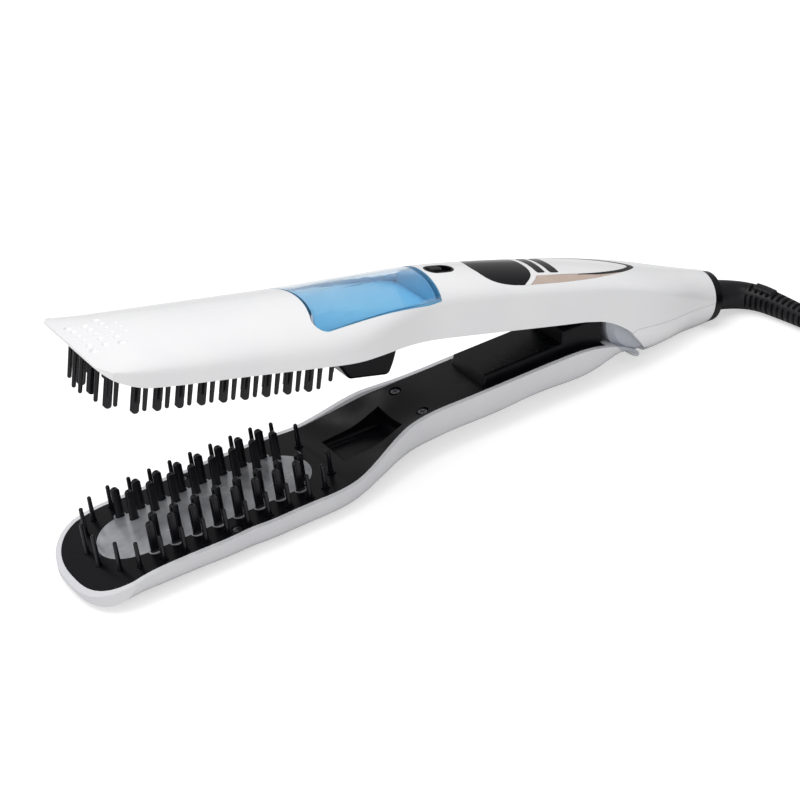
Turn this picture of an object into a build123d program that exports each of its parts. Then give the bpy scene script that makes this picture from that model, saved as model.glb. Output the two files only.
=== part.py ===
from build123d import *
from functools import lru_cache
import math
import os

os.makedirs("parts", exist_ok=True)

# Steam hair straightener with comb teeth, in millimetres, +Z up.
# +X points to the tail and the cord, the tips of the arms are at -X, and the near side is -Y.
# Both arms are drawn shut, about the hinge axis, so that they share one frame there.
# They are then opened, and the whole is stood on the floor on its belly and its tail.

# Opening and hinge
OPEN_ANGLE = 15.25
HINGE_PIN_RADIUS = 2.0
RUNNING_FIT = 0.05
BARREL_RADIUS = 15.0
BARREL_HALF = 14.6
BARREL_SKIN = 2.4
BARREL_CAVITY_HALF = 9.0
BARREL_CHAMFER = 2.4
BARREL_CLEARANCE = 0.6
CHEEK_GAP = 0.3
BOSS_RADIUS = 5.5
PIN_END = 16.7
SPRING_GAP = 0.3
SPRING_WIRE = 1.6
SPRING_TURNS = 7

# Lower arm, from the hinge axis
LOWER_NOSE_X = -262.4
LOWER_REAR_X = -3.5
SADDLE_X = -17.9
LOWER_HEAD_HALF = 29.9
LOWER_NECK_HALF = 18.1
LOWER_RIM = 2.3
LOWER_WALL = 1.7
HEAD_FACE = -12.0
NECK_FACE = -2.3
LOWER_BEND_X = -232.0
LOWER_BEND_RADIUS = 55.0
RIM_RAMP = (-150.0, -112.0)
MIDDLE_RAMP = (-131.0, -97.0)
NECK_SIDES = (-160.0, -98.0)
RIM_DROP_X = -36.0
RIM_DROP_RADIUS = 55.0
BELLY_X = -156.0
BELLY_LENGTH = 26.0
BELLY_DEPTH = -24.7
BELLY_FRONT_RISE = 0.024
UNDERSIDE_RAMP_END = -112.0
NECK_BOTTOM = -18.0
NECK_BOTTOM_REAR = -17.3
NOSE_LENGTH = 24.4
NOSE_POWER = 2.6

# Upper arm and main body, from the hinge axis
UPPER_NOSE_X = -253.4
UPPER_HEAD_HALF = 29.4
UPPER_NECK_HALF = 18.4
UPPER_CORNER = 9.0
UPPER_WALL = 2.0
UPPER_FACE = 1.8
UPPER_NECK_FACE = 3.0
UPPER_BEND_X = -229.0
UPPER_BEND_RADIUS = 41.0
UPPER_NECK_SIDES = (-152.0, -100.0)
UPPER_FACE_RAMP = (-150.0, -112.0)
UPPER_COVER_REAR_X = -39.0
TAIL_START_X = 6.0
TAIL_END_X = 43.0
TAIL_RADIUS = 11.8
TAIL_HEIGHT = 0.65
TAIL_BOTTOM_X = 2.0
TAIL_BOTTOM_FRONT = -20.6
LIP_THICKNESS = 2.8
PARTING_GAP = 0.15

# Heights of the main body's top line and of its shoulder, at places along the arm
TOP_LINE = [(-253.4, 10.8), (-230, 15.5), (-185, 18.9), (-141, 21.6), (-105, 25.7),
            (-85, 25.6), (-53, 24.1), (-13, 20.4), (43, 12.45)]
SHOULDER_LINE = [(-253.4, 9.9), (-230, 7.4), (-200, 6.6), (-152, 6.6), (-128, 12.0),
                 (-105, 17.0), (-60, 17.0), (-5, 14.0), (43, 2.2)]

# Inner covers, heater plates and teeth
COVER_THICKNESS = 2.0
COVER_FIT = 0.15
PLATE_FIT = 0.2
STACK_GAP = 0.1
LAYER = 1.8
TOOTH_PITCH = 9.2
LOWER_COLUMN_X = -240.1
UPPER_COLUMN_X = -233.1
PIN_RADIUS = 1.05
PIN_TIP_RADIUS = 0.85
PIN_CLEARANCE = 0.2
PIN_ROOT = 0.4
COLLAR_RADIUS = 1.8
COLLAR_HEIGHT = 0.6
LOWER_PIN_TIP = -1.4
UPPER_PIN_TIP = -8.7
WIDE_LENGTH = 3.7
WIDE_THICKNESS = 2.2
WIDE_TIP_RADIUS = 1.95
WIDE_CLEARANCE = 0.2
WIDE_HOLE_RADIUS = 0.45
WIDE_HOLE_DEPTH = 3.0
LOWER_WIDE_TIP = 0.9
UPPER_WIDE_TIP = -11.3
UPPER_FRONT_WIDE_TIP = -8.5
BULGE_RADIUS = 2.6
LOWER_PIN_ROW = 23.9
LOWER_OUTER_ROW = 16.1
LOWER_INNER_ROW = 10.6
UPPER_PIN_ROW = 25.3
UPPER_OUTER_ROW = 20.2
UPPER_INNER_ROW = 13.3
LOWER_PLATE = (-247.5, -154.6)
LOWER_PLATE_HALF = 15.6
LOWER_INSERT_MARGIN = 2.7
INSERT_END_MARGIN = 1.1
UPPER_PLATE = (-241.5, -149.5)
UPPER_PLATE_HALF = 19.4
UPPER_PLATE_CORNER = 12.0
UPPER_INSERT_MARGIN = 2.9
FRAME_GAP = 0.3
FRAME_RIM = 1.2
HEATER_HALF = 7.8
HEATER_HEIGHT = 4.0
HEATER_MARGIN = 20.0
TRAY_THICKNESS = 1.5
TRAY_HALF = 14.5
RIB_THICKNESS = 2.0

# Screws
SCREW_RECESS_RADIUS = 2.6
SCREW_RECESS_DEPTH = 1.3
SCREW_HEAD_RADIUS = 1.95
SCREW_HEAD_HEIGHT = 1.1
SCREW_SHANK_RADIUS = 1.1
SCREW_CLEARANCE = 0.05
SCREW_LENGTH = 5.2
SCREW_SLOT = 0.5
SCREW_BOSS_RADIUS = 2.7
HEAD_SCREW = (-199.2, 24.5)
NECK_SCREW = (-105.4, 10.9)
NECK_SCREW_FACE = -3.3

# Pump block under the upper arm, and its pocket in the lower arm
BLOCK_HALF = 8.9
BLOCK_CORNER = 2.0
BLOCK_BEND = 2.5
BLOCK_PROFILE = [(-143.2, 5.4), (-143.2, 1.8), (-141.2, -7.5), (-135.0, -14.4), (-116.8, -14.4),
                 (-115.2, -9.0), (-114.2, -3.0), (-113.0, 3.0), (-113.0, 5.4)]
BLOCK_WALL = 1.6
POCKET_X = (-142.5, -114.6)
POCKET_HALF = 9.7
POCKET_FLOOR = -15.1
POCKET_WALL = 0.9
POCKET_CORNER = 2.5
POCKET_SLOPE = (2.0, 3.5)
DIMPLE_RADIUS = 2.0
DIMPLE_LIFT = 1.75
DIMPLE_ROWS = ((-248.5, 6), (-243.0, 5), (-237.5, 6), (-232.8, 3))
DIMPLE_SPACING = 4.7
PUMP_RADIUS = 4.6
PUMP_LENGTH = 12.0

# Raised block on the lower neck
NECK_BLOCK_X = (-75.5, -16.8)
NECK_BLOCK_HALF = 12.5
NECK_BLOCK_TOP = 1.9
NECK_BOX_X = -37.5
NECK_BOX_TOP = 7.5
NECK_BLOCK_EDGE = 1.2

# Water tank
TANK_FRONT_X = -163.5
TANK_REAR_X = -102.0
TANK_FRONT_HALF = 24.6
TANK_REAR_HALF = 17.0
TANK_FRONT_HOLLOW = 5.0
TANK_CORNER = 5.0
TANK_FLOOR = 7.7
TANK_WALL = 1.6
TANK_FIT = 0.25
TANK_TRAVEL = 40.0
SEAT_TOP = 7.0
SEAT_THICKNESS = 1.0
SEAT_LEDGE = 1.2
FILLER_X = -150.0
FILLER_RADIUS = 4.4
FILLER_FLANGE_RADIUS = 5.8
FILLER_FLANGE = 0.6
OUTLET_X = -132.0
OUTLET_RADIUS = 2.0
SEAL_RADIUS = 5.0

# Controls on top of the main body
SKIN = 1.2
SKIN_FIT = 0.15
SLIDER_X = -93.7
SLIDER_LENGTH = 13.0
SLIDER_WIDTH = 8.4
SLIDER_RIM = 0.9
SLIDER_DEPTH = 1.5
SLIDER_BASE = 0.9
KNOB_LENGTH = 6.0
KNOB_WIDTH = 5.2
KNOB_PROUD = 0.5
SLIDER_TRAVEL = 4.0
LENS_REAR = [(-62.4, 15.6), (-57.8, 12.5), (-55.1, 9.6), (-53.8, 6.0), (-53.5, 0.0)]
INLAY_BAND = 3.0
BUTTONS = {"button_minus": (-48.8, 3.9, 8.1), "button_plus": (-42.2, 4.3, 8.2)}
BUTTON_PROUD = 0.15
BUTTON_TRAVEL = 0.5
BUTTON_DEPTH = 2.6
BASE_DEPTH = 3.2
BASE_LEDGE = 1.5
OVAL = [(-79.5, 0.0), (-78.8, 5.0), (-76.5, 10.5), (-69.0, 14.0), (-57.0, 14.6), (-42.0, 14.2),
        (-28.0, 12.9), (-14.0, 9.8), (-6.0, 7.0), (0.5, 3.8), (4.2, 0.0)]
INNER_OVAL = [(-66.0, 0.0), (-63.0, 7.0), (-55.0, 9.8), (-42.0, 9.7), (-30.0, 9.3), (-20.0, 8.3),
              (-9.5, 5.9), (-2.5, 3.0), (0.8, 0.0)]
STRIP_LINE = [(-70.0, 9.95), (-42.0, 9.95), (-34.0, 9.9), (-27.0, 10.0), (-20.0, 9.8), (-13.0, 8.7),
              (-6.5, 7.2), (2.0, 4.9)]
CRESCENT_FRONT_X = -31.0
TRIM_GAP = 0.1

# Circuit boards
CONTROL_BOARD = (-76.0, -38.0, 8.0)
CONTROL_BOARD_TOP = 16.9
SWITCH_HEIGHT = 0.7
STEM_GAP = 0.1
BOARD_THICKNESS = 1.4
MAIN_BOARD = (-84.0, -24.0, 13.5)
MAIN_BOARD_BOTTOM = 9.5

# Tail and swivel
RING_LENGTH = 4.5
RING_ROOT_RADIUS = 11.6
RING_END_RADIUS = 10.8
SPIGOT_RADIUS = 9.5
SPIGOT_LENGTH = 3.5
STEM_RADIUS = 6.0
STEM_OUT = 0.6
FLANGE_RADIUS = 8.8
FLANGE_LENGTH = 3.0
FLANGE_GAP = 0.3

# Cord
CORD_DIAMETER = 6.0
CORD_REST = 0.2
PLUG_REST = 0.4
BOOT_ROOT_RADIUS = 6.9
BOOT_END_RADIUS = 4.4
BOOT_BEND = 18.0
PLUG_THICKNESS = 13.0
PLUG_WIDTH = 35.3
PLUG_LENGTH = 36.0
PLUG_PIN_RADIUS = 2.0
PLUG_PIN_LENGTH = 19.0
PLUG_PIN_SPACING = 19.0
LOOP_SPACING = 6.6
LAYER_RISE = 6.6
COIL_RADIUS = 47.3
HALF_TURNS_IN = 8
HALF_TURNS_OUT = 6
COIL_CENTRE = (247.0, -32.0)
COIL_TURN = 90.0


def smooth(x, start, end):
    """Go from 0 at start to 1 at end, level at both."""
    t = min(max((x - start) / (end - start), 0.0), 1.0)
    return t * t * (3.0 - 2.0 * t)


def mix(low, high, share):
    return low + (high - low) * share


def through(points, x):
    """A smooth curve through hand-chosen points (x, value)."""
    if x <= points[0][0]:
        return points[0][1]
    if x >= points[-1][0]:
        return points[-1][1]
    i = max(k for k in range(len(points) - 1) if points[k][0] <= x)

    def slope(k):
        a = points[max(k - 1, 0)]
        b = points[min(k + 1, len(points) - 1)]
        return (b[1] - a[1]) / (b[0] - a[0])

    x0, y0 = points[i]
    x1, y1 = points[i + 1]
    span = x1 - x0
    t = (x - x0) / span
    rise = (2 * t**3 - 3 * t**2 + 1) * y0 + (3 * t**2 - 2 * t**3) * y1
    return rise + span * ((t**3 - 2 * t**2 + t) * slope(i) + (t**3 - t**2) * slope(i + 1))


def arc_drop(run, radius):
    """How far a circular bend leaves its tangent after a run along it."""
    run = max(run, 0.0)
    return radius - math.sqrt(radius**2 - run**2)


def spaced(start, end, count):
    return [start + (end - start) * i / (count - 1) for i in range(count)]


def mirrored(points):
    """The points and their mirror images across the middle plane."""
    return points + [(x, -y) for x, y in points]


def at_x(x):
    """The plane across the arm at x: its own x is +Y and its own y is +Z."""
    return Plane(origin=(x, 0, 0), x_dir=(0, 1, 0), z_dir=(1, 0, 0))


def side_solid(outline, half):
    """A closed outline in X and Z, extruded to both sides of the middle plane."""
    plane = Plane(origin=(0, half, 0), x_dir=(1, 0, 0), z_dir=(0, -1, 0))
    return extrude(plane * make_face(outline), amount=2 * half)


def polygon(*points):
    return Polyline(*points, close=True)


def plan_solid(face, low, high):
    """A face drawn in plan, extruded from z = low to z = high."""
    return Pos(0, 0, low) * extrude(face, amount=high - low)


def plan_box(x0, x1, half, low, high):
    return Pos((x0 + x1) / 2, 0, (low + high) / 2) * Box(x1 - x0, 2 * half, high - low)


def y_cylinder(radius, y0, y1, x=0.0, z=0.0):
    return Pos(x, (y0 + y1) / 2, z) * Rot(90, 0, 0) * Cylinder(radius, y1 - y0)


def x_cylinder(radius, x0, x1, y=0.0, z=0.0):
    return Pos((x0 + x1) / 2, y, z) * Rot(0, 90, 0) * Cylinder(radius, x1 - x0)


def upright(radius, low, high, x=0.0, y=0.0):
    return Pos(x, y, (low + high) / 2) * Cylinder(radius, high - low)


def stadium(x0, x1, half):
    """A face in plan with straight sides and round ends."""
    return Pos((x0 + x1) / 2, 0) * SlotOverall(x1 - x0, 2 * half)


def mirrored_outline(points, grow=0.0):
    """A smooth closed face in plan through points that run along its +Y side, moved out by grow."""
    rim = Spline(*points, *[(x, -y) for x, y in points[-2:0:-1]], periodic=True)
    if grow:
        shares = spaced(0.0, 1.0, 10 * len(points))[:-1]
        outward = [Vector(-(rim % share).Y, (rim % share).X) for share in shares]
        rim = Spline(*[rim @ share + grow * way for share, way in zip(shares, outward)], periodic=True)
    return make_face(rim)


# Lower arm: its outline, faces and hull


def lower_half(x, inset=0.0):
    return mix(LOWER_HEAD_HALF, LOWER_NECK_HALF, smooth(x, *NECK_SIDES)) - inset


def lower_outline(inset, x_rear):
    """The lower arm's rounded nose in plan. Behind it the sides stand clear of the hull's own sides."""
    nose = LOWER_NOSE_X + inset
    length = NOSE_LENGTH - inset
    near = []
    for i in range(1, 13):
        x = nose + length * (i / 12) ** 2
        share = 1.0 - ((nose + length - x) / length) ** NOSE_POWER
        near.append((x, -(lower_half(x, inset) + 0.4) * share ** (1.0 / NOSE_POWER)))
    side = near[-1][1]
    rim = Spline(*[(x, -y) for x, y in near[::-1]], (nose, 0), *near, tangents=[(-1, 0), (1, 0)])
    return make_face([rim, Polyline(near[-1], (x_rear, side), (x_rear, -side), (near[-1][0], -side))])


def lower_level(x, ramp):
    level = mix(HEAD_FACE, NECK_FACE, smooth(x, *ramp))
    front = arc_drop(LOWER_BEND_X - x, LOWER_BEND_RADIUS)
    rear = arc_drop(x - RIM_DROP_X, RIM_DROP_RADIUS)
    return level - front - rear


def rim_height(x):
    return lower_level(x, RIM_RAMP)


def middle_height(x):
    """Height of the inner face along its middle, which rises later than the rim."""
    return lower_level(x, MIDDLE_RAMP)


def underside(x, tilt):
    """Height of the underside along its middle. The belly lies flat on the floor at the tilt."""
    front = BELLY_X - BELLY_LENGTH
    belly = BELLY_DEPTH + math.tan(tilt) * (max(x, front) - BELLY_X)
    belly += BELLY_FRONT_RISE * max(front - x, 0.0)
    neck = mix(NECK_BOTTOM, NECK_BOTTOM_REAR, smooth(x, UNDERSIDE_RAMP_END, LOWER_REAR_X))
    return mix(belly, neck, smooth(x, BELLY_X, UNDERSIDE_RAMP_END))


def rest_tilt():
    """How far the part leans back to stand on its belly and on the rear edge of its end ring."""
    turn = math.radians(OPEN_ANGLE)
    x = TAIL_END_X + RING_LENGTH
    z = TAIL_HEIGHT - RING_END_RADIUS
    tail_x = x * math.cos(turn) + z * math.sin(turn)
    tail_z = z * math.cos(turn) - x * math.sin(turn)
    return math.atan2(tail_z - BELLY_DEPTH, tail_x - BELLY_X)


REST_TILT = rest_tilt()
LOWER_STATIONS = (spaced(LOWER_NOSE_X - 0.5, -164.0, 9) + spaced(-156.0, -100.0, 9)
                  + spaced(-86.0, LOWER_REAR_X, 5))


def boat_section(x, half, top, bottom, headroom):
    """A section with upright sides above a rounded underside that is flat along its middle."""
    depth = max(top - bottom, 1.0)
    flat = 0.3 * half
    edges = [Line((half, top + headroom), (half, top)),
             Bezier((half, top), (half, top - 0.66 * depth), (0.87 * half, bottom), (flat, bottom))]
    left = [edge.mirror(Plane.YZ) for edge in edges]
    closing = [Line((flat, bottom), (-flat, bottom)), Line((half, top + headroom), (-half, top + headroom))]
    return at_x(x) * make_face(edges + left + closing)


@lru_cache(None)
def lower_hull(inset, wall):
    """The lower arm's body, inset from its sides, wall above its underside, open above its rim."""
    sections = []
    for x in LOWER_STATIONS:
        bottom = min(underside(x, REST_TILT) + wall, rim_height(x) - 1.0 - (COVER_THICKNESS if wall else 0.0))
        sections.append(boat_section(x, lower_half(x, inset), rim_height(x), bottom, 4.0))
    return loft(sections) & plan_solid(lower_outline(inset, LOWER_REAR_X + 1), -40, 20)


def below_rim():
    """Everything below the lower arm's rim, seen from the side."""
    stations = spaced(LOWER_NOSE_X - 2, -150.0, 9) + spaced(-146.0, -112.0, 8) + spaced(-90.0, 0.0, 8)
    curve = Spline(*[(x, rim_height(x)) for x in stations])
    return side_solid([curve, Polyline((0, rim_height(0)), (0, -45), (stations[0], -45),
                                       (stations[0], rim_height(stations[0])))], 40)


def below_inner_face(depth, x_rear):
    """Everything at a depth below the dished inner face of the neck, from the head to x_rear."""
    sections = []
    for x in spaced(RIM_RAMP[0], MIDDLE_RAMP[1], 10) + spaced(-80.0, x_rear, 5):
        half = lower_half(x) + 0.5
        edge = rim_height(x) - depth
        middle = middle_height(x) - depth
        top = Bezier((-half, edge), (0, 2 * middle - edge), (half, edge))
        rest = Polyline((half, edge), (half, -40), (-half, -40), (-half, edge))
        sections.append(at_x(x) * make_face([top, rest]))
    return loft(sections)


def head_layer(bend_x, bend_radius, face, into, depth0, depth1, x_rear):
    """A layer that follows a head's inner face between two depths. into is -1 downwards, 1 upwards."""
    centre = face + into * bend_radius

    def arc_point(depth, angle):
        radius = bend_radius - depth
        return (bend_x - radius * math.sin(angle), centre - into * radius * math.cos(angle))

    top = ThreePointArc(arc_point(depth0, 0), arc_point(depth0, 0.35), arc_point(depth0, 0.68))
    low = ThreePointArc(arc_point(depth1, 0), arc_point(depth1, 0.35), arc_point(depth1, 0.68))
    ends = Line(arc_point(depth0, 0.68), arc_point(depth1, 0.68))
    z0 = face + into * depth0
    z1 = face + into * depth1
    straight = Polyline((bend_x, z0), (x_rear, z0), (x_rear, z1), (bend_x, z1))
    return side_solid([top, low, ends, straight], 40)


def lower_layer(depth0, depth1, x_rear=RIM_RAMP[0]):
    return head_layer(LOWER_BEND_X, LOWER_BEND_RADIUS, HEAD_FACE, -1, depth0, depth1, x_rear)


def upper_layer(depth0, depth1, x_rear=UPPER_FACE_RAMP[0]):
    return head_layer(UPPER_BEND_X, UPPER_BEND_RADIUS, UPPER_FACE, 1, depth0, depth1, x_rear)


# Upper arm and main body: sections and hull


def upper_half(x):
    neck = mix(UPPER_HEAD_HALF, UPPER_NECK_HALF, smooth(x, *UPPER_NECK_SIDES))
    return mix(neck, TAIL_RADIUS, smooth(x, TAIL_START_X, TAIL_END_X))


def upper_face(x):
    level = mix(UPPER_FACE, UPPER_NECK_FACE, smooth(x, *UPPER_FACE_RAMP))
    return level + arc_drop(UPPER_BEND_X - x, UPPER_BEND_RADIUS)


def crown_points(x, inset):
    """Control points of the crown over the main body at x, from the +Y shoulder to the middle."""
    round_end = smooth(x, TAIL_START_X, TAIL_END_X)
    shoulder = through(SHOULDER_LINE, x)
    half = upper_half(x) - inset - mix(0.035, 0.0, round_end) * (shoulder + 6)
    top = through(TOP_LINE, x) - inset
    rise = top - shoulder
    return [(half, shoulder), (half - 0.3, shoulder + 0.5 * rise), (0.58 * half, top), (0, top)]


def body_section(x, inset):
    """A section of the main body: crowned top, upright sides and a rounded underside."""
    half = upper_half(x) - inset
    round_end = smooth(x, TAIL_START_X, TAIL_END_X)
    crown = crown_points(x, inset)
    knee = mix(-5.5, TAIL_HEIGHT - 0.6, round_end)
    run = (max(x, TAIL_BOTTOM_X) - TAIL_BOTTOM_X) / (TAIL_END_X - TAIL_BOTTOM_X)
    bottom = mix(TAIL_BOTTOM_FRONT, TAIL_HEIGHT - TAIL_RADIUS, run) + inset
    drop = knee - bottom
    belly = Bezier((0, bottom), (0.56 * half, bottom), (half, knee - 0.45 * drop), (half, knee))
    edges = [belly, Line((half, knee), crown[0]), Bezier(*crown)]
    return at_x(x) * make_face(edges + [edge.mirror(Plane.YZ) for edge in edges])


@lru_cache(None)
def body_hull(inset):
    stations = [-254, -247, -238, -226, -205, -180, -158, -144, -132, -120, -108, -94,
                -75, -52, -28, -8, 8, 20, 32, TAIL_END_X]
    return loft([body_section(x, inset) for x in stations])


def upper_plan(inset, x_rear=TAIL_END_X + 1):
    """The main body's front edge in plan, with its rounded corners. The sides stand clear."""
    nose = UPPER_NOSE_X + inset
    half = UPPER_HEAD_HALF + 0.4 - inset
    length = x_rear - nose
    face = Pos(nose + length / 2 + 10, 0) * RectangleRounded(length + 20, 2 * half, UPPER_CORNER - inset)
    return plan_solid(face, -40, 40)


def crown_band(depth0, depth1, x0, x1):
    """A skin that follows the crown on top of the main body, between two depths."""
    sections = []
    for x in spaced(x0, x1, max(4, round((x1 - x0) / 9))):
        points = crown_points(x, 0.0)
        bands = []
        for depth in (depth0, depth1):
            crown = Bezier(*[(y, z - depth) for y, z in points])
            bands += [crown, crown.mirror(Plane.YZ)]
        y, z = points[0]
        bands += [Line((side * y, z - depth0), (side * y, z - depth1)) for side in (1, -1)]
        sections.append(at_x(x) * make_face(bands))
    return loft(sections)


# Teeth and screws


def comb_rows(start_x, first, count, y):
    return [(start_x + TOOTH_PITCH * (first + k), y) for k in range(count)]


LOWER_PINS = mirrored([(LOWER_COLUMN_X - 10.6, 5.5), (LOWER_COLUMN_X - 6.1, 15.8), (LOWER_COLUMN_X, 21.4)]
                      + comb_rows(LOWER_COLUMN_X, 1, 8, LOWER_PIN_ROW)
                      + [(LOWER_COLUMN_X + 81.9, 21.5), (LOWER_COLUMN_X + 89.0, 13.5)])
LOWER_OUTER_WIDE = mirrored(comb_rows(LOWER_COLUMN_X, 1, 8, LOWER_OUTER_ROW))
LOWER_WIDE = LOWER_OUTER_WIDE + mirrored(comb_rows(LOWER_COLUMN_X, 1.4, 8, LOWER_INNER_ROW))
UPPER_PINS = mirrored([(UPPER_COLUMN_X - 15.8, 2.9), (UPPER_COLUMN_X - 13.6, 12.0),
                       (UPPER_COLUMN_X - 8.6, 18.4)]
                      + comb_rows(UPPER_COLUMN_X, 0, 9, UPPER_PIN_ROW)
                      + [(UPPER_COLUMN_X + 82.1, 19.6), (UPPER_COLUMN_X + 87.0, 12.0)])
UPPER_WIDE_X = UPPER_COLUMN_X - 1.5
UPPER_OUTER_WIDE = mirrored(comb_rows(UPPER_WIDE_X, 0, 9, UPPER_OUTER_ROW))
UPPER_EDGE_WIDE = UPPER_OUTER_WIDE + mirrored([(UPPER_WIDE_X - 7.7, 12.8)])
UPPER_WIDE = UPPER_EDGE_WIDE + mirrored(comb_rows(UPPER_WIDE_X, 0.4, 8, UPPER_INNER_ROW))
UPPER_FRONT_WIDE = mirrored([(UPPER_WIDE_X - 10.7, 4.5)])


def thin_pins(places, face_height, into, tip):
    """Round pins with domed tips, rooted in the layer behind the face."""
    pins = Part()
    for x, y in places:
        root = face_height(x) + into * (COVER_THICKNESS + STACK_GAP + PIN_ROOT)
        low, high = min(root, tip), max(root, tip)
        shaft = high - low - PIN_TIP_RADIUS
        cone = Pos(0, 0, shaft / 2) * Cone(PIN_RADIUS, PIN_TIP_RADIUS, shaft)
        pin = cone + Pos(0, 0, shaft) * Sphere(PIN_TIP_RADIUS)
        if into > 0:
            pins += Pos(x, y, high) * Rot(180, 0, 0) * pin
        else:
            pins += Pos(x, y, low) * pin
    return pins


def wide_teeth(places, face_height, into, tip):
    """Flat comb teeth with rounded tips, each with a steam hole in its tip."""
    teeth = Part()
    for x, y in places:
        root = face_height(x) + into * (COVER_THICKNESS + STACK_GAP + LAYER / 2)
        height = abs(tip - root)
        shaft = height - WIDE_TIP_RADIUS
        tooth = extrude(SlotOverall(WIDE_LENGTH, WIDE_THICKNESS), height)
        tooth &= plan_box(-3, 3, 2, 0, shaft) + y_cylinder(WIDE_TIP_RADIUS, -2, 2, 0, shaft)
        tooth -= upright(WIDE_HOLE_RADIUS, height - WIDE_HOLE_DEPTH, height + 1)
        turn = Rot(180, 0, 0) if into > 0 else Rot(0, 0, 0)
        teeth += Pos(x, y, root) * turn * tooth
    return teeth


def holes(places, radius, low, high):
    cutters = [upright(radius, low, high, x, y) for x, y in places]
    return Part() + cutters


def tooth_slots(places, low, high):
    face = SlotOverall(WIDE_LENGTH + 2 * WIDE_CLEARANCE, WIDE_THICKNESS + 2 * WIDE_CLEARANCE)
    return Part() + [Pos(x, y, low) * extrude(face, high - low) for x, y in places]


def bulged(face, teeth, grow=0.0):
    """An outline in plan that bulges round each tooth on its edge."""
    return face + [Pos(x, y) * Circle(BULGE_RADIUS + grow) for x, y in teeth]


def lower_plate_plan(grow=0.0):
    x0, x1 = LOWER_PLATE
    return bulged(stadium(x0 - grow, x1 + grow, LOWER_PLATE_HALF + grow), LOWER_OUTER_WIDE, grow)


def rounded_plan(x0, x1, half, corner):
    return Pos((x0 + x1) / 2, 0) * RectangleRounded(x1 - x0, 2 * half, corner)


def upper_plate_plan(grow=0.0):
    x0, x1 = UPPER_PLATE
    face = rounded_plan(x0 - grow, x1 + grow, UPPER_PLATE_HALF + grow, UPPER_PLATE_CORNER)
    return bulged(face, UPPER_EDGE_WIDE, grow)


def screws(place, face, length):
    """Two pan-head screws, mirrored across the middle plane."""
    low = face - SCREW_RECESS_DEPTH
    pair = []
    for x, y in mirrored([place]):
        head = upright(SCREW_HEAD_RADIUS, low, low + SCREW_HEAD_HEIGHT, x, y)
        head -= Pos(x, y, low + SCREW_HEAD_HEIGHT) * Box(3.0, SCREW_SLOT, 0.8)
        head -= Pos(x, y, low + SCREW_HEAD_HEIGHT) * Box(SCREW_SLOT, 3.0, 0.8)
        pair.append(head + upright(SCREW_SHANK_RADIUS, low - length, low, x, y))
    return pair


def screw_holes(place, face, bottom):
    cut = Part()
    for x, y in mirrored([place]):
        cut += upright(SCREW_RECESS_RADIUS, face - SCREW_RECESS_DEPTH, face + 5, x, y)
        cut += upright(SCREW_SHANK_RADIUS + SCREW_CLEARANCE, bottom, face, x, y)
    return cut


# Lower arm's pieces


def screw_bosses(hull):
    low_face = HEAD_FACE - COVER_THICKNESS - STACK_GAP - LAYER - STACK_GAP
    neck_face = NECK_SCREW_FACE - COVER_THICKNESS - 0.9
    bosses = Part()
    for place, top, length, face in ((HEAD_SCREW, low_face, SCREW_LENGTH, HEAD_FACE),
                                     (NECK_SCREW, neck_face, SCREW_LENGTH, NECK_SCREW_FACE)):
        bottom = face - SCREW_RECESS_DEPTH - length - 0.3
        for x, y in mirrored([place]):
            boss = upright(SCREW_BOSS_RADIUS, -30, top, x, y)
            bosses += boss - upright(SCREW_SHANK_RADIUS + SCREW_CLEARANCE, bottom, top + 1, x, y)
    return bosses & hull


def lower_shell():
    hull = lower_hull(0.0, 0.0) & below_rim()
    cavity = lower_hull(LOWER_RIM, LOWER_WALL) & plan_box(-300, SADDLE_X, 40, -40, 20)
    shell = hull - cavity
    shell += screw_bosses(hull)
    tray_bottom = HEAD_FACE - COVER_THICKNESS - STACK_GAP - HEATER_HEIGHT - TRAY_THICKNESS - 2 * STACK_GAP
    for x in (LOWER_PLATE[0] + HEATER_MARGIN + 12, LOWER_PLATE[1] - HEATER_MARGIN - 12):
        shell += plan_box(x - RIB_THICKNESS, x + RIB_THICKNESS, TRAY_HALF, -30, tray_bottom) & hull
    barrel = y_cylinder(BARREL_RADIUS, -BARREL_HALF, BARREL_HALF)
    barrel = chamfer(barrel.edges().filter_by(GeomType.CIRCLE), BARREL_CHAMFER)
    shell += barrel
    shell -= y_cylinder(BARREL_RADIUS - BARREL_SKIN, -BARREL_CAVITY_HALF, BARREL_HALF + 1)
    shell -= y_cylinder(HINGE_PIN_RADIUS + RUNNING_FIT, -BARREL_HALF - 1, BARREL_HALF + 1)
    return shell


def barrel_cap():
    cap = y_cylinder(BARREL_RADIUS - BARREL_SKIN, BARREL_CAVITY_HALF, BARREL_HALF)
    return cap - y_cylinder(HINGE_PIN_RADIUS + RUNNING_FIT, 0, BARREL_HALF + 1)


def pocket_tub(grow):
    x0, x1 = POCKET_X
    x0 -= grow
    x1 += grow
    floor = POCKET_FLOOR - grow
    run, rise = POCKET_SLOPE
    profile = polygon((x0, 6), (x0, floor + 2.5), (x0 + 2.5, floor), (x1 - run, floor),
                      (x1, floor + rise), (x1, 6))
    tub = side_solid(profile, POCKET_HALF + grow)
    lengthwise = [edge for edge in tub.edges().filter_by(Axis.Y, reverse=True)
                  if abs(edge.center().Z - floor) < 0.1]
    return fillet(lengthwise, POCKET_CORNER) if lengthwise else tub


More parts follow.
